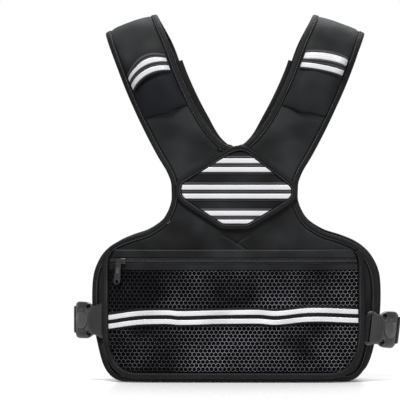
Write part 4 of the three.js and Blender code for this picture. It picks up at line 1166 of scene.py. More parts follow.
def net_body(pitch_x, pitch_y, strand, low, wave):
    """A net of six-sided cells: each cell is a ring from the strands' middle line, raised, to a round
    hole, on both faces. Cells share their corners, so the net is one closed sheet."""
    top = POCKET["top"] + BAND_TOP + ZIP["width"] + BAND_BOTTOM - 3
    foot = POCKET["top"] + POCKET["height"] - TAPE + 2
    rows = np.arange(int((foot - top) / pitch_y) + 1)
    columns = np.arange(int(2 * POCKET["half"] / pitch_x) + 2)
    j, i = np.meshgrid(rows, columns, indexing="ij")
    cell_x = -POCKET["half"] + (i + (j % 2) / 2) * pitch_x
    cell_z = top + pitch_y / 2 + j * pitch_y
    left, right = span_at(pocket_inner(TAPE - 2.5), cell_z[:, 0])
    keep = (cell_x > left[:, None]) & (cell_x < right[:, None]) & (cell_z < foot - pitch_y / 2)
    cx, cz = cell_x[keep], cell_z[keep]
    corner = np.array([(0, -2), (1, -1), (1, 1), (0, 2), (-1, 1), (-1, -1)], float)
    corner = corner * [pitch_x / 2, pitch_y / 3]
    ring = np.stack([corner, (corner + np.roll(corner, -1, axis=0)) / 2], 1).reshape(-1, 2)
    bearing = np.arctan2(ring[:, 1], ring[:, 0])
    oval = np.stack([np.cos(bearing) * pitch_x / 2, np.sin(bearing) * pitch_y * 0.6], -1)
    hole = mix(ring, oval, 0.1) * (1 - strand / np.array([pitch_x, pitch_y * 1.2]))
    count, sides = len(cx), len(ring)
    outer = np.stack([cx[:, None] + ring[:, 0], cz[:, None] + ring[:, 1]], -1).reshape(-1, 2)
    keys = np.round(outer / [pitch_x / 4, pitch_y / 6]).astype(int)
    _, first, shared = np.unique(keys, axis=0, return_index=True, return_inverse=True)
    shared = shared.reshape(-1)
    outer = outer[first]
    holes = np.stack([cx[:, None] + hole[:, 0], cz[:, None] + hole[:, 1]], -1).reshape(-1, 2)
    flat = np.concatenate([outer, outer, holes])
    raised = np.full(len(outer), strand * 0.42)
    rise = np.concatenate([raised, -raised, np.zeros(len(holes))])
    relief = wave * pocket_ripple(flat[:, 0], flat[:, 1])
    points = on_pocket(flat[:, 0], flat[:, 1], low + rise + relief)
    here = shared.reshape(count, sides)
    after = np.roll(here, -1, axis=1)
    rim = 2 * len(outer) + np.arange(count * sides).reshape(count, sides)
    rim_after = np.roll(rim, -1, axis=1)
    upper = np.stack([here, after, rim_after, rim], -1).reshape(-1, 4)
    lower = np.stack([here, rim, rim_after, after], -1).reshape(-1, 4)
    lower = np.where(lower < len(outer), lower + len(outer), lower)
    edges = np.stack([here, after], -1).reshape(-1, 2)
    ends = np.sort(edges, axis=1)
    _, place, times = np.unique(ends, axis=0, return_inverse=True, return_counts=True)
    border = edges[times[place.reshape(-1)] == 1]
    wall = np.stack([border[:, 1], border[:, 0], border[:, 0] + len(outer), border[:, 1] + len(outer)], -1)
    faces = facing_out(points, np.concatenate([upper, lower, wall]))
    return points, faces, flat


def ribbon_on_pocket(start, end, low, thick, trim):
    """A band along the pocket's ribbon, from one distance below its middle to another. Its middle
    follows the table of dips, so it kinks as sewn ribbon does."""
    left, right = span_at(pocket_inner(), [POCKET_RIBBON_DOWN])
    x = np.linspace(left[0] + trim, right[0] - trim, 240)[None, :]
    dip = cubic(RIBBON_DIP, (x - POCKET["shift"]) / POCKET["half"])["dip"]
    rows = np.linspace(start, end, 9)[:, None]
    x = np.broadcast_to(x, (9, x.shape[1]))
    z = POCKET_RIBBON_DOWN + dip + rows
    edge = np.clip(1 - (np.abs(np.linspace(-1, 1, 9)) ** 8)[:, None], 0, 1)
    relief = pocket_ripple(x, z) * 2
    outer = on_pocket(x, z, low + thick * (0.4 + 0.6 * edge) + relief)
    inner = on_pocket(x, z, low + relief)
    return sheet_of(outer, inner, x, rows)


# Patch

def patch_outline(inset):
    edge = np.stack([PATCH["shift"] + PATCH_EDGE["x"] * PATCH["half"],
                     PATCH["top"] + PATCH_EDGE["down"] * PATCH["height"]], -1)
    return rounded_outline(inset_outline(edge, inset), 1)


def patch_tape():
    """The patch's tape as a ring: the outer part of a folded section, closed by a flat foot."""
    inset, lift = (values[6:] for values in tape_profile(PATCH["tape"], 0, PATCH["proud"]))
    inset = np.concatenate([[PATCH["tape"], 0.6], inset])
    lift = np.concatenate([[0.0, 0.0], lift])
    rings = []
    for distance, height in zip(inset, lift):
        ring = patch_outline(distance)
        rings.append(on_panel(-1, ring[:, 0], ring[:, 1], ON_TOP + height))
    loops = np.stack(rings, 1)
    length = lengths_of(loops[:, -1])
    return *tube(loops, ring=True), cloth_grid(length[:, None], girth_of(inset, lift))


def patch_sheet(downs, low, thick, trim=0.0, rounded=True):
    """Cloth across the patch between two heights, trimmed by its tape."""
    left, right = span_at(patch_outline(PATCH["tape"] + GAP), downs)
    x = mix(left[:, None] + trim, right[:, None] - trim, np.linspace(0, 1, 90))
    z = np.broadcast_to(np.asarray(downs)[:, None], x.shape)
    rows = np.linspace(-1, 1, len(downs))[:, None]
    edge = 1 - np.abs(rows) ** 8 if rounded else np.ones_like(rows)
    outer = on_panel(-1, x, z, low + thick * (0.4 + 0.6 * edge))
    inner = on_panel(-1, x, z, low + np.zeros_like(x))
    return sheet_of(outer, inner, x, z)


# Shoulder pouches

def ribbon_top(fit, across):
    return fit["ribbon"] + fit["lean"] * (across - 0.5) - fit["arch"] * (1 - (2 * across - 1) ** 2)


def on_pouch(hand, part, down, lift):
    """A place on the strap's front between its tapes: down is millimetres below the crest."""
    along = along_at(down, -1)
    start = strap_inset(along, TAPE + GAP, "outer")
    end = 1 - strap_inset(along, TAPE + GAP, "inner")
    return on_strap(hand, along, mix(start, end, part), lift)


def pouch_body(hand):
    """The pouch's cloth: rows run from under the ribbon to the seam; it swells as a sine down and a
    cubic flank across, and tucks under sharply above the seam."""
    fit = POUCH[hand]
    part = np.linspace(0, 1, 60)[None, :]
    row = np.linspace(0, 1, 70)[:, None]
    top = ribbon_top(fit, part) + RIBBON * 0.45
    foot = fit["foot"] + fit["foot_lean"] * (part - 0.5) + 2 * (1 - (2 * part - 1) ** 2)
    side = 1 - np.abs(2 * part - 1) ** 3
    swell = np.maximum(np.sin(np.pi * np.clip(row * 0.72 + 0.28, 0, 1)), 0) ** 0.5
    rise = GAP + (POUCH_BULGE - POUCH_WALL) * side * swell
    rise = rise + 0.35 * side * swell * ripple(part * 60, row * 60, [(1, 55, 34, 0.5), (0.6, -33, 80, 2)])
    lip = smooth(row, 0.6, 0.93) * (1 - smooth(row, 0.95, 1)) * np.exp(-(((part - 0.55) / 0.22) ** 2))
    rise = rise + 1.2 * lip
    down = mix(top, foot, row) + POUCH_LIP * lip
    wall = mix(POUCH_WALL, POUCH_SEAM, smooth(row, 0.95, 1.0))
    outer = on_pouch(hand, part, down, PAD + GAP + rise + wall)
    inner = on_pouch(hand, part, down, PAD + GAP + rise)
    return sheet_of(outer, inner, part * 55, down)


def pouch_band(hand, start, end, low, thick):
    """A band that arches over the pouch's mouth, from one share of the ribbon's width to another."""
    fit = POUCH[hand]
    part = np.linspace(0.04, 0.97, 80)[None, :]
    share = np.linspace(start, end, 9)[:, None]
    down = ribbon_top(fit, part) + RIBBON * share
    arch = 1 - (2 * part - 1) ** 2
    stand = KEEPER + fit["arch"] * 0.5 * arch + POUCH_BULGE * 0.35
    ends = 1 - np.abs(2 * part - 1) ** 6
    lift = PAD + 3 * GAP + POUCH_WALL + stand * ends + low
    edge = 1 - np.abs(np.linspace(-1, 1, 9))[:, None] ** 8
    outer = on_pouch(hand, part, down, lift + thick * (0.4 + 0.6 * edge))
    inner = on_pouch(hand, part, down, lift + np.zeros_like(down))
    return sheet_of(outer, inner, part * 62, share * RIBBON)


# Buckles and webbing

def on_buckle(hand, along, up, out):
    """Points of a buckle's bent frame: along its length on an arc, up its height, out of its face."""
    fit = BUCKLE[hand]
    mirror = -1 if hand == "left" else 1
    along, up, out = np.broadcast_arrays(np.asarray(along, float), up, out)
    toe, droop = math.radians(fit["toe"]), math.radians(fit["droop"])
    heading = toe + np.maximum(along, 0) / fit["radius"]
    straight = np.minimum(along, 0)
    x = fit["radius"] * (np.sin(heading) - math.sin(toe)) + straight * math.cos(toe) + np.sin(heading) * out
    y = fit["radius"] * (math.cos(toe) - np.cos(heading)) + straight * math.sin(toe) - np.cos(heading) * out
    start_lift = ON_TOP + BUCKLE_STAND + BAR_STANDOFF + WEBBING_THICK / 2
    start = on_panel(-1, fit["start"], fit["drop"], start_lift)
    across = start[0] + x * math.cos(droop) + up * math.sin(droop)
    return stack(mirror * across, start[1] + y, -fit["drop"] + up * math.cos(droop) - x * math.sin(droop))


def slab_loops(along, half, thick, scoop, sides=40, squareness=0.28):
    """Rounded slabs across a buckle: each section is a superellipse, hollowed by the scoop."""
    angle = (np.arange(sides) + 0.5) / sides * 2 * np.pi
    up = np.sign(np.cos(angle)) * np.abs(np.cos(angle)) ** squareness
    out = np.sign(np.sin(angle)) * np.abs(np.sin(angle)) ** (squareness * 1.6)
    dish = 1 - 0.32 * scoop[:, None] * (1 - up**2) * (out > 0)
    return stack(along[:, None], half[:, None] * up, thick[:, None] / 2 * out * dish)


def solid_object(name, points, faces):
    """A plain mesh object for cutting and joining, in millimetres."""
    mesh = bpy.data.meshes.new(name)
    mesh.from_pydata(points.tolist(), [], faces.tolist())
    mesh.update()
    piece = bpy.data.objects.new(name, mesh)
    bpy.context.scene.collection.objects.link(piece)
    return piece


def rod_body(radius, length, at, sides=40, radius_v=None):
    """A rod along the out direction, as loops that end in small flat caps."""
    angle = (np.arange(sides) + 0.5) / sides * 2 * np.pi
    wide, high = radius, radius_v or radius
    ends = np.array([-0.5, 0.5])[:, None] * length
    loops = stack(at[0] + wide * np.cos(angle), at[1] + high * np.sin(angle), at[2] + ends)
    return tube(loops)


def block_body(near, far, half, out, cuts=24):
    """A square block from near to far along the buckle, cut into slices so that it can bend."""
    along = np.linspace(near, far, cuts)
    corners = np.array([(1, 1), (-1, 1), (-1, -1), (1, -1)], float)
    loops = stack(along[:, None], half * corners[:, 0], out * corners[:, 1])
    return tube(loops)


def carved(body, changes, bevel=0.35):
    """A body after joins and cuts, with its edges bevelled, as a mesh."""
    piece = solid_object("carving", *body)
    helpers = []
    for kind, helper in changes:
        tool = solid_object("tool", *helper)
        change = piece.modifiers.new(kind, "BOOLEAN")
        change.operation = kind
        change.solver = "EXACT"
        change.object = tool
        helpers.append(tool)
    soften = piece.modifiers.new("soften", "BEVEL")
    soften.width = bevel
    soften.segments = 2
    soften.limit_method = "ANGLE"
    soften.angle_limit = math.radians(38)
    bpy.context.view_layer.update()
    evaluated = piece.evaluated_get(bpy.context.evaluated_depsgraph_get())
    mesh = bpy.data.meshes.new_from_object(evaluated)
    for helper in [piece, *helpers]:
        bpy.data.objects.remove(helper)
    return mesh


def bend_mesh(mesh, place):
    """Moves every vertex of a straight mesh to its place on the vest, in metres."""
    points = np.zeros(len(mesh.vertices) * 3)
    mesh.vertices.foreach_get("co", points)
    points = points.reshape(-1, 3)
    mesh.vertices.foreach_set("co", (place(points[:, 0], points[:, 1], points[:, 2]) * MM).ravel())
    mesh.update()
    return mesh


def socket_mesh():
    share = np.linspace(0, 1, 70)
    row = cubic(SOCKET_ROWS, share)
    body = tube(slab_loops(share * SOCKET_LENGTH, row["half"] * BUCKLE_HALF, row["thick"] * BUCKLE_THICK,
                           np.clip(row["scoop"], 0, 1)))
    face = BUCKLE_THICK / 2
    changes = [
        ("DIFFERENCE", block_body(SLOT["near"], SLOT["far"], SLOT["half"], BUCKLE_THICK, 3)),
        ("DIFFERENCE", block_body(CAVITY["from"], SOCKET_LENGTH + 1, CAVITY["half"], CAVITY["open"] / 2)),
        *(("DIFFERENCE", rod_body(NOTCH["radius"], NOTCH["deep"], (NOTCH["at"], out, NOTCH["middle"])))
          for out in (NOTCH["out"], -NOTCH["out"])),
        ("DIFFERENCE", rod_body(DISC["radius"] + DISC["groove"], GROOVE_DEEP, (DISC["at"], 0, face), 64)),
        ("UNION", rod_body(DISC["radius"], DISC["thick"] + DISC["sunk"],
                           (DISC["at"], 0, face + (DISC["thick"] - DISC["sunk"]) / 2), 64)),
    ]
    return carved(body, changes)


def plug_mesh():
    start, end = SOCKET_LENGTH + GAP, PLUG_LENGTH
    share = np.linspace(0, 1, 24)
    half = BUCKLE_HALF * (0.95 - 0.09 * share - 0.06 * smooth(share, 0.85, 1.0))
    thick = BUCKLE_THICK * (0.9 - 0.52 * smooth(share, 0.1, 0.45) - 0.06 * smooth(share, 0.9, 1.0))
    body = tube(slab_loops(mix(start, end, share), half, thick, np.zeros_like(share)))
    slot = block_body(end - SLOT["far"], end - SLOT["near"], SLOT["half"], BUCKLE_THICK, 3)
    changes = [("DIFFERENCE", slot)]
    reach = start - CAVITY["from"] - 4
    for up, width in ((15, 3), (-15, 3), (0, 3.5)):
        points, faces = block_body(start - reach, start + 1, width, CAVITY["open"] / 2 - 1)
        changes.append(("UNION", (points + [0, up, 0], faces)))
    return carved(body, changes)


def strip_body(path, out, up):
    """Webbing along a path: a flat section with round selvedges, turned to face out."""
    across = np.linspace(-1, 1, 21)
    belly = np.sqrt(np.clip(1 - np.abs(across) ** 9, 0, 1)) * WEBBING_THICK / 2
    face = np.concatenate([across, across[::-1]])
    lift = np.concatenate([belly, -belly[::-1]])
    loops = path[:, None] + up * (face * WEBBING / 2)[None, :, None] + out[:, None] * lift[None, :, None]
    girth = np.concatenate([across, across[::-1] + 2]) * WEBBING / 2
    return *tube(loops), cloth_grid(lengths_of(path)[:, None], girth)


def buckle_axes(hand, along):
    along = np.atleast_1d(np.asarray(along, float))
    here = on_buckle(hand, along, 0, 0)
    up = unit(on_buckle(hand, along, 1, 0) - here)
    out = unit(on_buckle(hand, along, 0, 1) - here)
    run = unit(on_buckle(hand, along + 0.1, 0, 0) - here)
    return here, up, out, run


def turn_round(hand, bar, way):
    """The webbing's turn round a bar, on a squared ellipse from the outer face to the inner face."""
    angle = np.radians(np.linspace(90, -90, 17))
    clear = SLOT["near"] / 2 + GAP + WEBBING_THICK / 2

    def squared(value):
        return np.sign(value) * np.abs(value) ** 0.5

    reach = BAR_STANDOFF * squared(np.sin(angle))
    along = bar + way * (SLOT["near"] / 2 + clear * squared(np.cos(angle)))
    _, _, out, run = buckle_axes(hand, along)
    facing = out * np.sin(angle)[:, None] + run * (way * np.cos(angle))[:, None]
    return on_buckle(hand, along, 0, reach), facing


def front_webbing(hand):
    def layer(side):
        along = np.linspace(-WEBBING_TUCK, -1, 9)
        sink = BUCKLE_STAND * 0.75 * smooth(-along, 1, WEBBING_TUCK - 3)
        _, _, out, _ = buckle_axes(hand, along)
        return on_buckle(hand, along, 0, side * BAR_STANDOFF - sink), out * side

    top, turn, foot = layer(1), turn_round(hand, 0, 1), layer(-1)
    path = np.concatenate([top[0], turn[0], foot[0][::-1]])
    out = np.concatenate([top[1], turn[1], foot[1][::-1]])
    return path, unit(out), buckle_axes(hand, 0)[1][0]


def back_webbing(hand):
    mirror = -1 if hand == "left" else 1
    fit = BUCKLE[hand]
    turn, turn_out = turn_round(hand, PLUG_LENGTH, -1)
    _, up, out, run = (axis[0] for axis in buckle_axes(hand, PLUG_LENGTH + 1))
    start = on_buckle(hand, PLUG_LENGTH + 1, 0, BAR_STANDOFF)
    down = 4 - start[2]
    seat = ON_TOP + WEBBING_THICK / 2 + 2 * GAP
    flank = HALF_WIDTH - 1
    edge = on_panel(1, mirror * flank, down, seat)
    into = unit(on_panel(1, mirror * (flank - 4), down, seat) - edge)
    t = np.linspace(0, 1, 40)[:, None]
    first, second = start + run * 18, edge - into * 24
    bow = (1 - t) ** 3 * start + 3 * (1 - t) ** 2 * t * first + 3 * (1 - t) * t**2 * second + t**3 * edge
    bow_out = unit(np.cross(np.gradient(bow, axis=0), up)) * mirror
    places = np.linspace(flank, fit["anchor"], 16)[1:]
    seated = on_panel(1, mirror * places, down, seat)
    seated_out = unit(on_panel(1, mirror * places, down, seat + 1) - seated)
    reach = np.linspace(12, 3, 5)
    tuck = on_buckle(hand, PLUG_LENGTH + reach, 0, -BAR_STANDOFF + reach * 0.06)
    tuck_out = np.tile(-out, (5, 1))
    path = np.concatenate([tuck, turn[::-1], bow, seated])
    facing = np.concatenate([tuck_out, turn_out[::-1], bow_out, seated_out])
    return path, unit(facing), up


# Operators

SIZE = {"unit": "LENGTH", "subtype": "DISTANCE"}
HUE = {"subtype": "COLOR", "size": 3, "min": 0.0, "max": 1.0}


class VestSizes(bpy.types.PropertyGroup):
    stitch_pitch: bpy.props.FloatProperty(
        name="Stitch Pitch", description="Length from stitch to stitch", default=0.0034, **SIZE)
    net_width: bpy.props.FloatProperty(
        name="Net Cell Width", description="Width of one cell of the net", default=0.0061, **SIZE)
    net_height: bpy.props.FloatProperty(
        name="Net Cell Height", description="Height from one row of cells to the next",
        default=0.0052, **SIZE)
    strand: bpy.props.FloatProperty(
        name="Net Strand", description="Thickness of the net's strands", default=0.00042, **SIZE)
    tooth_pitch: bpy.props.FloatProperty(
        name="Tooth Pitch", description="Length from tooth to tooth of the zip", default=0.0016, **SIZE)
    view_distance: bpy.props.FloatProperty(
        name="View Distance", description="From the camera to the vest", default=8.0, **SIZE)
    view_turn: bpy.props.FloatProperty(
        name="View Turn", description="Angle of the camera from straight ahead", default=math.radians(0.8),
        subtype="ANGLE", unit="ROTATION")
    view_rise: bpy.props.FloatProperty(
        name="View Rise", description="Angle of the camera above level", default=math.radians(1.3),
        subtype="ANGLE", unit="ROTATION")


class VestColours(bpy.types.PropertyGroup):
    pad: bpy.props.FloatVectorProperty(
        name="Body", description="Cloth of the body and straps", default=(0.0052, 0.0056, 0.006), **HUE)
    tape: bpy.props.FloatVectorProperty(
        name="Edge Tape", description="Ribbed tape round the edges", default=(0.0042, 0.0044, 0.0047), **HUE)
    ribbon: bpy.props.FloatVectorProperty(
        name="Ribbon", description="Dark part of the reflective ribbon",
        default=(0.024, 0.024, 0.026), **HUE)
    stripe: bpy.props.FloatVectorProperty(
        name="Stripe", description="Reflective stripes", default=(0.47, 0.47, 0.49), **HUE)
    net: bpy.props.FloatVectorProperty(
        name="Net", description="Strands of the pocket's net", default=(0.1, 0.1, 0.107), **HUE)
    lining: bpy.props.FloatVectorProperty(
        name="Lining", description="Cloth behind the net", default=(0.0008, 0.0008, 0.0016), **HUE)
    zip: bpy.props.FloatVectorProperty(
        name="Zip Tape", description="Woven tape of the zip", default=(0.0045, 0.0045, 0.006), **HUE)
    coil: bpy.props.FloatVectorProperty(
        name="Coil", description="Teeth of the zip", default=(0.007, 0.007, 0.009), **HUE)
    plastic: bpy.props.FloatVectorProperty(
        name="Plastic", description="Buckles, slider and puller", default=(0.02, 0.02, 0.021), **HUE)
    webbing: bpy.props.FloatVectorProperty(
        name="Webbing", description="Flat webbing of the side straps",
        default=(0.0035, 0.0035, 0.0038), **HUE)
    thread: bpy.props.FloatVectorProperty(
        name="Thread", description="Sewing thread", default=(0.055, 0.055, 0.058), **HUE)


class BuildOperator:
    """Shared settings of the vest's operators."""
    bl_options = {"REGISTER", "UNDO"}


class VEST_OT_body(BuildOperator, bpy.types.Operator):
    """Makes the padded panels, straps and legs"""
    bl_idname = "vest.body"
    bl_label = "Padded Body"

    def execute(self, context):
        for name, side in (("front_panel", -1), ("back_panel", 1)):
            dress(name, lower_panel(side), "pad", "padded_cloth")
        for hand in ("left", "right"):
            body = strap_pad(hand, -FOOT_FALLS, strap_places(-1), True, TAIL_SPREAD)
            dress(f"strap_{hand}", body, "strap", "padded_cloth")
            body = strap_pad(hand, FOOT_FALLS, strap_places(1), False, LEG_SPREAD)
            dress(f"back_leg_{hand}", body, "pad", "padded_cloth")
        return {"FINISHED"}


class VEST_OT_tapes(BuildOperator, bpy.types.Operator):
    """Makes the tapes round the armholes, hem and neck"""
    bl_idname = "vest.tapes"
    bl_label = "Edge Tape"

    def execute(self, context):
        pitch = context.scene.vest_sizes.stitch_pitch / MM
        rows = (("front_tape", outer_stations, -1), ("neck_tape", neck_stations, -1),
                ("back_tape", outer_stations, 1), ("back_neck_tape", neck_stations, 1))
        for name, build, side in rows:
            stations = build(side)
            cloth = dress(name, tape_body(stations), "tape", "edge_tape")
            sew(name, line_on(stations, TAPE * STITCH_INSET, PAD + PROUD), pitch)
        return {"FINISHED"}


class VEST_OT_patch(BuildOperator, bpy.types.Operator):
    """Makes the chest patch with its ribbons"""
    bl_idname = "vest.patch"
    bl_label = "Chest Patch"

    def execute(self, context):
        inner = patch_outline(PATCH["tape"] + GAP)
        top, foot = inner[:, 1].min() + 0.4, inner[:, 1].max() - 0.4
        body = patch_sheet(np.linspace(top, foot, 60), ON_TOP, PATCH["thick"], rounded=False)
        dress("patch", body, "pad", "padded_cloth")
        binding = dress("patch_tape", patch_tape(), "tape", "edge_tape")

        def edge(inset, lift):
            ring = patch_outline(float(inset.item()))
            ring = np.concatenate([ring, ring[:1]])
            return on_panel(-1, ring[:, :1], ring[:, 1:], ON_TOP + lift)

        pitch = context.scene.vest_sizes.stitch_pitch / MM
        sew("patch_tape", line_on(edge, PATCH["tape"] * STITCH_INSET, PATCH["proud"] - 0.2), pitch)
        face = ON_TOP + PATCH["thick"] + GAP
        for i, middle in enumerate(PATCH_RIBBONS):
            downs = np.linspace(max(middle - RIBBON / 2, top), min(middle + RIBBON / 2, foot), 13)
            spans = np.subtract(*span_at(inner, downs)[::-1])
            body = patch_sheet(downs, face, RIBBON_THICK, 0.1)
            ribbon = dress(f"patch_ribbon_{i + 1}", body, "ribbon", "ribbon")

            def stripe(way):
                line = middle + way * STRIPE_PITCH / 2
                across = np.linspace(line - STRIPE / 2, min(line + STRIPE / 2, foot), 9)
                return patch_sheet(across, face + RIBBON_THICK + 0.05, STRIPE_THICK, 0.3)

            strips = stripes("patch_stripe", i * 2 + 1, stripe)
        return {"FINISHED"}


class VEST_OT_pouches(BuildOperator, bpy.types.Operator):
    """Makes the shoulder pouches with their ribbons"""
    bl_idname = "vest.pouches"
    bl_label = "Shoulder Pouches"

    def execute(self, context):
        for hand in ("left", "right"):
            pouch = f"pouch_{hand}"
            dress(pouch, pouch_body(hand), pouch, "padded_cloth")
            band = pouch_band(hand, 0, 1, 0, RIBBON_THICK)
            ribbon = dress(f"shoulder_ribbon_{hand}", band, "ribbon", "ribbon")

            def stripe(way):
                middle = 0.5 + way * STRIPE_PITCH / 2 / RIBBON
                half = STRIPE / 2 / RIBBON
                start = middle - (half * 0.5 if hand == "left" and way < 0 else half)
                return pouch_band(hand, start, middle + half, RIBBON_THICK + 0.05, STRIPE_THICK)

            strips = stripes(f"shoulder_stripe_{hand}", 1, stripe)
        return {"FINISHED"}


class VEST_OT_pocket(BuildOperator, bpy.types.Operator):
    """Makes the pocket: tape, bands, net, lining and ribbon"""
    bl_idname = "vest.pocket"
    bl_label = "Net Pocket"

    def execute(self, context):
        sizes = context.scene.vest_sizes
        tape = tape_body(pocket_station, TAPE, 0, POCKET["tape"], 1.6)
        binding = dress("pocket_tape", tape, "tape", "edge_tape")
        pitch = sizes.stitch_pitch / MM
        sew("pocket_tape", line_on(pocket_station, TAPE * STITCH_INSET, POCKET["tape"] + 0.4), pitch)
        top = POCKET["top"]
        zip_top = top + BAND_TOP
        zip_foot = zip_top + ZIP["width"]
        net_top = zip_foot + BAND_BOTTOM
        foot = top + POCKET["height"] - TAPE - GAP - 0.1
        seat, cloth = POCKET_SEAT, POCKET["cloth"]
        bands = (("pocket_band", top, zip_top - 0.2), ("pocket_lower_band", zip_foot + 0.2, net_top))
        for name, start, end in bands:
            body = pocket_sheet(np.linspace(start, end, 12), seat, cloth + 0.6)
            band = dress(name, body, "pad", "padded_cloth")
            ends = span_at(pocket_inner(), [(start + end) / 2])
        left, right = span_at(pocket_inner(), [top + 1.5])
        places = np.linspace(left[0] + 2, right[0] - 2, 120)[:, None]
        line = line_on(lambda inset, lift: on_pocket(places, top + inset, lift), 1.6, seat + cloth + 0.65)
        sew("pocket_top", line, pitch, 0.9)
        lining = pocket_sheet(np.linspace(net_top - 2, foot, 70), seat - 0.9, 0.8, wave=1.6)
        piece = put_mesh("pocket_lining", *lining, MATERIALS["lining"], "net", [])
        net = net_body(sizes.net_width / MM, sizes.net_height / MM, sizes.strand / MM, seat + 1.2, 2.0)
        mesh = dress("pocket_net", net, "net", "net", "cells")
        low = seat + cloth + 0.7
        body = ribbon_on_pocket(-RIBBON / 2, RIBBON / 2, low, RIBBON_THICK, 0.1)
        # The pocket's ribbon takes the ribbon weave with painted shade
        ribbon = dress("pocket_ribbon", body, "dark_ribbon", "ribbon")

        def stripe(way):
            start = (way * STRIPE_PITCH - STRIPE) / 2
            return ribbon_on_pocket(start, start + STRIPE, low + RIBBON_THICK, STRIPE_THICK, 0.2)

        strips = stripes("pocket_stripe", 1, stripe)
        x = np.linspace(*span_at(pocket_inner(), [POCKET_RIBBON_DOWN]), 120)[:, 0]
        dip = cubic(RIBBON_DIP, (x - POCKET["shift"]) / POCKET["half"])["dip"]
        return {"FINISHED"}


class VEST_OT_zip(BuildOperator, bpy.types.Operator):
    """Makes the zip: tape, teeth, slider and puller"""
    bl_idname = "vest.zip"
    bl_label = "Zip"

    def execute(self, context):
        pitch = context.scene.vest_sizes.tooth_pitch / MM
        top = POCKET["top"] + BAND_TOP
        foot = top + ZIP["width"]
        seat, cloth = POCKET_SEAT, POCKET["cloth"]
        body = pocket_sheet(np.linspace(top, foot, 9), seat, cloth)
        tape = dress("zip_tape", body, "zip_tape", "zip")
        middle = (top + foot) / 2
        left, right = span_at(pocket_inner(), [middle])
        count = int((right[0] - left[0]) / pitch) - 1
        number = np.arange(count)
        x = left[0] + pitch * (number + 1)
        side = np.where(number % 2, 1.0, -1.0)
        down = middle + side * ZIP["chain"] * 0.16
        lift = seat + cloth + ZIP["thick"] * 0.5
        centres = on_pocket(x, down, lift)
        run = unit(on_pocket(x + 1, down, lift) - centres)
        out = unit(on_pocket(x, down, lift + 1) - centres)
        axes = np.stack([run, np.cross(out, run) * side[:, None], out], 1)
        rings = np.array([-1.0, -0.6, 0.5, 1.0])
        wide = np.array([0.55, 0.8, 1.0, 0.7])[:, None] * pitch * 0.62
        high = np.array([0.5, 1.0, 0.9, 0.4])[:, None] * ZIP["thick"] * 0.5
        angle = (np.arange(8) + 0.5) / 8 * 2 * np.pi
        loops = stack(wide * np.cos(angle), rings[:, None] * ZIP["chain"] * 0.34, high * np.sin(angle))
        points, faces = tube(loops)
        teeth = repeated(points, faces, centres, axes)
        chain = put_mesh("zip_teeth", *teeth, None, MATERIALS["coil"], "zip", ["zip_chain"])
        places = np.linspace(left[0] + 1, right[0] - 1, 120)[:, None]
        rows = []
        for way in (-1, 1):
            seam = line_on(lambda inset, lift: on_pocket(places, middle + inset, lift), way * 3.4,
                           seat + cloth)
            rows.append(stitches(seam, 2.0, 0.6))
        uv = np.concatenate([row[2] for row in rows])
        seams = put_mesh("zip_seams", *joined([row[:2] for row in rows]), uv, MATERIALS["thread"], "zip", [])
        self.slider(middle, seat + cloth + 2 * GAP + ZIP["thick"])
        return {"FINISHED"}

    def slider(self, down, low):
        """The slider's body and the puller's bar with its eye, straight and then laid on the pocket."""
        share = np.linspace(0, 1, 30)
        length, width = SLIDER["length"], SLIDER["width"]
        along = (share - 0.5) * length
        half = width / 2 * (0.62 + 0.38 * smooth(share, 0.1, 0.6))
        thick = SLIDER["thick"] * (0.55 + 0.45 * np.sin(np.pi * share) ** 0.6)
        loops = slab_loops(along, half, thick * 0.8, np.zeros(30), 28, 0.4)
        mesh = carved(tube(loops), [("UNION", rod_body(1.9, SLIDER["thick"], (1.5, 0, 0.2)))], 0.25)
        lift = low + SLIDER["thick"] * 0.45
        bend_mesh(mesh, lambda x, y, z: on_pocket(SLIDER["x"] + x, down - y, lift + z))
        put_object("zip_slider_body", mesh, MATERIALS["plastic"], ["zip_slider"])
        length, width, thick, eye = (PULLER[key] for key in ("length", "width", "thick", "eye"))
        share = np.linspace(0, 1, 40)
        y = -share * length + width * 0.1
        ends = np.minimum(smooth(share, 0, 0.12), np.sqrt(np.clip((1 - share) / 0.14, 0, 1)))
        half = width / 2 * (0.78 + 0.22 * smooth(share, 0.3, 0.8)) * np.maximum(ends, 0.12)
        loops = slab_loops(y, half, np.full(40, thick), np.zeros(40), 28, 0.45)
        at = -(length - width * 0.55)
        points, faces = block_body(-9, -17, 1.9, thick * 0.2, 3)
        changes = [("DIFFERENCE", rod_body(eye * 1.3, thick * 3, (at, 0, 0), radius_v=eye * 0.9)),
                   ("DIFFERENCE", rod_body(1.2, thick * 3, (-1.5, 0, 0), radius_v=2.0)),
                   ("DIFFERENCE", (points + [0, 0, thick * 0.5], faces))]
        mesh = carved(tube(loops), changes, 0.2)
        lean = math.radians(PULLER["lean"])
        clear = low + SLIDER["thick"] + GAP + thick / 2

        def place(y, x, z):
            across = x * math.cos(lean) + y * math.sin(lean)
            fallen = down - y * math.cos(lean) + x * math.sin(lean)
            return on_pocket(SLIDER["x"] - 2 + across, fallen, clear + z)

        bend_mesh(mesh, place)
        put_object("zip_puller_body", mesh, MATERIALS["plastic"], ["zip_puller"])


class VEST_OT_buckles(BuildOperator, bpy.types.Operator):
    """Makes the side release buckles"""
    bl_idname = "vest.buckles"
    bl_label = "Buckles"

    def execute(self, context):
        for hand in ("left", "right"):
            for part, build in (("socket", socket_mesh), ("plug", plug_mesh)):
                mesh = bend_mesh(build(), lambda x, y, z: on_buckle(hand, x, y, z))
                if hand == "left":
                    mesh.flip_normals()
                name = f"buckle_{part}_{hand}"
                put_object(name + "_moulding", mesh, MATERIALS["plastic"], [name])
        return {"FINISHED"}


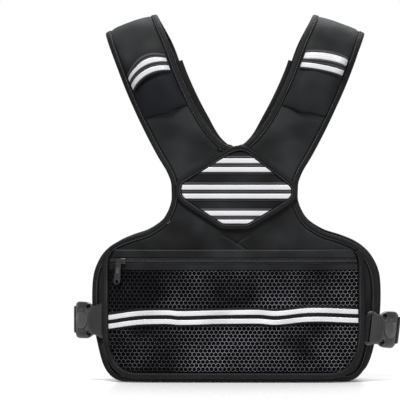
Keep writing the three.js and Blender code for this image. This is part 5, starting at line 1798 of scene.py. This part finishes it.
class VEST_OT_webbing(BuildOperator, bpy.types.Operator):
    """Makes the webbing of the side straps"""
    bl_idname = "vest.webbing"
    bl_label = "Webbing"

    def execute(self, context):
        for hand in ("left", "right"):
            for name, build in (("webbing_front", front_webbing), ("webbing_back", back_webbing)):
                node = f"{name}_{hand}"
                run = build(hand)
                strip = put_mesh(node + "_weave", *strip_body(*run), MATERIALS["webbing"], "webbing", [node])
        return {"FINISHED"}


class VEST_OT_stage(BuildOperator, bpy.types.Operator):
    """Makes the floor, the lights and the camera"""
    bl_idname = "vest.stage"
    bl_label = "Stage"

    def execute(self, context):
        self.floor()
        self.lights(context)
        self.camera(context)
        return {"FINISHED"}

    def floor(self):
        reach = 1.2
        corners = [(-reach, -reach, 0), (reach, -reach, 0), (reach, reach, 0), (-reach, reach, 0)]
        ground, floor = stage_quad("floor", corners)
        floor.location.z = -FLOOR_DOWN * MM
        material, tree, shader = material_of("pale_floor", (0.9, 0.9, 0.9), 0.2, specular=0.4)
        place = tree.nodes.new("ShaderNodeTexCoord")
        distance = tree.nodes.new("ShaderNodeVectorMath")
        distance.operation = "LENGTH"
        wire(tree, place.outputs["Object"], distance.inputs[0])
        away = math_node(tree, "DIVIDE", distance.outputs["Value"], reach)
        fade = colour_ramp(tree, away, [(0.12, (1, 1, 1)), (0.3, (0.5, 0.5, 0.5)), (0.7, (0, 0, 0))])
        wire(tree, fade, shader.inputs["Alpha"])
        ground.materials.append(material)
        self.backdrop(-FLOOR_DOWN * MM)

    def backdrop(self, low):
        """A white wall behind the vest, which the floor mirrors round the vest's own reflection."""
        reach, high, behind = 3.0, 2.2, 2.0
        corners = [(-reach, behind, low), (reach, behind, low), (reach, behind, high),
                   (-reach, behind, high)]
        wall, holder = stage_quad("backdrop", corners)
        material, tree, shader = material_of("white_wall", (0, 0, 0), 1.0, specular=0.0)
        behind_it = tree.nodes.new("ShaderNodeNewGeometry").outputs["Backfacing"]
        wire(tree, math_node(tree, "SUBTRACT", 1.0, behind_it), shader.inputs["Alpha"])
        shader.inputs["Emission Color"].default_value = (1, 1, 1, 1)
        shader.inputs["Emission Strength"].default_value = 1.0
        wall.materials.append(material)

    def lights(self, context):
        world = bpy.data.worlds.new("studio")
        context.scene.world = world
        world.use_nodes = True
        tree = world.node_tree
        tree.nodes["Background"].inputs["Color"].default_value = (1, 1, 1, 1)
        seen = tree.nodes.new("ShaderNodeLightPath").outputs["Is Camera Ray"]
        strength = math_node(tree, "MULTIPLY_ADD", seen, 1 - AMBIENT, AMBIENT)
        wire(tree, strength, tree.nodes["Background"].inputs["Strength"])
        rows = table("x y z wide power", [
            (-0.6, -1.9, 2.2, 0.9, 165.0),
            (1.6, -1.6, 0.5, 0.7, 22.0),
            (0.2, 1.6, 1.6, 1.4, 40.0),
        ])
        for k in range(len(rows["x"])):
            lamp = bpy.data.lights.new(f"soft_light_{k + 1}", "AREA")
            lamp.size = rows["wide"][k]
            lamp.energy = rows["power"][k]
            holder = bpy.data.objects.new(lamp.name, lamp)
            place = np.array([rows["x"][k], rows["y"][k], rows["z"][k]])
            holder.location = place
            aim = Vector((0, 0, -0.25)) - Vector(place)
            holder.rotation_euler = aim.to_track_quat("-Z", "Y").to_euler()
            context.scene.collection.objects.link(holder)
        context.scene.view_settings.view_transform = "Standard"

    def camera(self, context):
        """The photograph's view: one photo pixel is PIXEL millimetres at the front's face."""
        sizes = context.scene.vest_sizes
        lens = bpy.data.cameras.new("view")
        holder = bpy.data.objects.new("view", lens)
        context.scene.collection.objects.link(holder)
        turn, rise = sizes.view_turn, sizes.view_rise
        away = Vector((math.sin(turn) * math.cos(rise), -math.cos(turn) * math.cos(rise), math.sin(rise)))
        target = Vector((VIEW_CENTRE[0] * MM, -HALF_DEPTH * MM, VIEW_CENTRE[1] * MM))
        holder.location = target + away * sizes.view_distance
        holder.rotation_euler = (-away).to_track_quat("-Z", "Y").to_euler()
        lens.sensor_width = SENSOR
        lens.sensor_fit = "HORIZONTAL"
        lens.lens = SENSOR * sizes.view_distance / (PHOTO_SIDE * PIXEL * MM)
        lens.clip_end = 50
        context.scene.camera = holder


class VEST_PT_panel(bpy.types.Panel):
    """Lists the vest's pieces"""
    bl_idname = "VEST_PT_panel"
    bl_label = "Weighted Vest"
    bl_space_type = "VIEW_3D"
    bl_region_type = "UI"
    bl_category = "Vest"

    def draw(self, context):
        for operator in OPERATORS:
            self.layout.operator(operator.bl_idname)
        for settings in (context.scene.vest_sizes, context.scene.vest_colours):
            for name in settings.bl_rna.properties.keys():
                if name not in ("name", "rna_type"):
                    self.layout.prop(settings, name)


OPERATORS = (VEST_OT_body, VEST_OT_tapes, VEST_OT_patch, VEST_OT_pouches, VEST_OT_pocket, VEST_OT_zip,
             VEST_OT_buckles, VEST_OT_webbing, VEST_OT_stage)
CLASSES = (VestSizes, VestColours, *OPERATORS, VEST_PT_panel)


def register():
    for kind in CLASSES:
        bpy.utils.register_class(kind)
    bpy.types.Scene.vest_sizes = bpy.props.PointerProperty(type=VestSizes)
    bpy.types.Scene.vest_colours = bpy.props.PointerProperty(type=VestColours)


def unregister():
    del bpy.types.Scene.vest_sizes
    del bpy.types.Scene.vest_colours
    for kind in reversed(CLASSES):
        bpy.utils.unregister_class(kind)


def main():
    register()
    MATERIALS.update(make_materials(bpy.context.scene.vest_colours))
    bpy.ops.vest.body()
    bpy.ops.vest.tapes()
    bpy.ops.vest.patch()
    bpy.ops.vest.pouches()
    bpy.ops.vest.pocket()
    bpy.ops.vest.zip()
    bpy.ops.vest.buckles()
    bpy.ops.vest.webbing()
    bpy.ops.vest.stage()


if __name__ == "__main__":
    main()
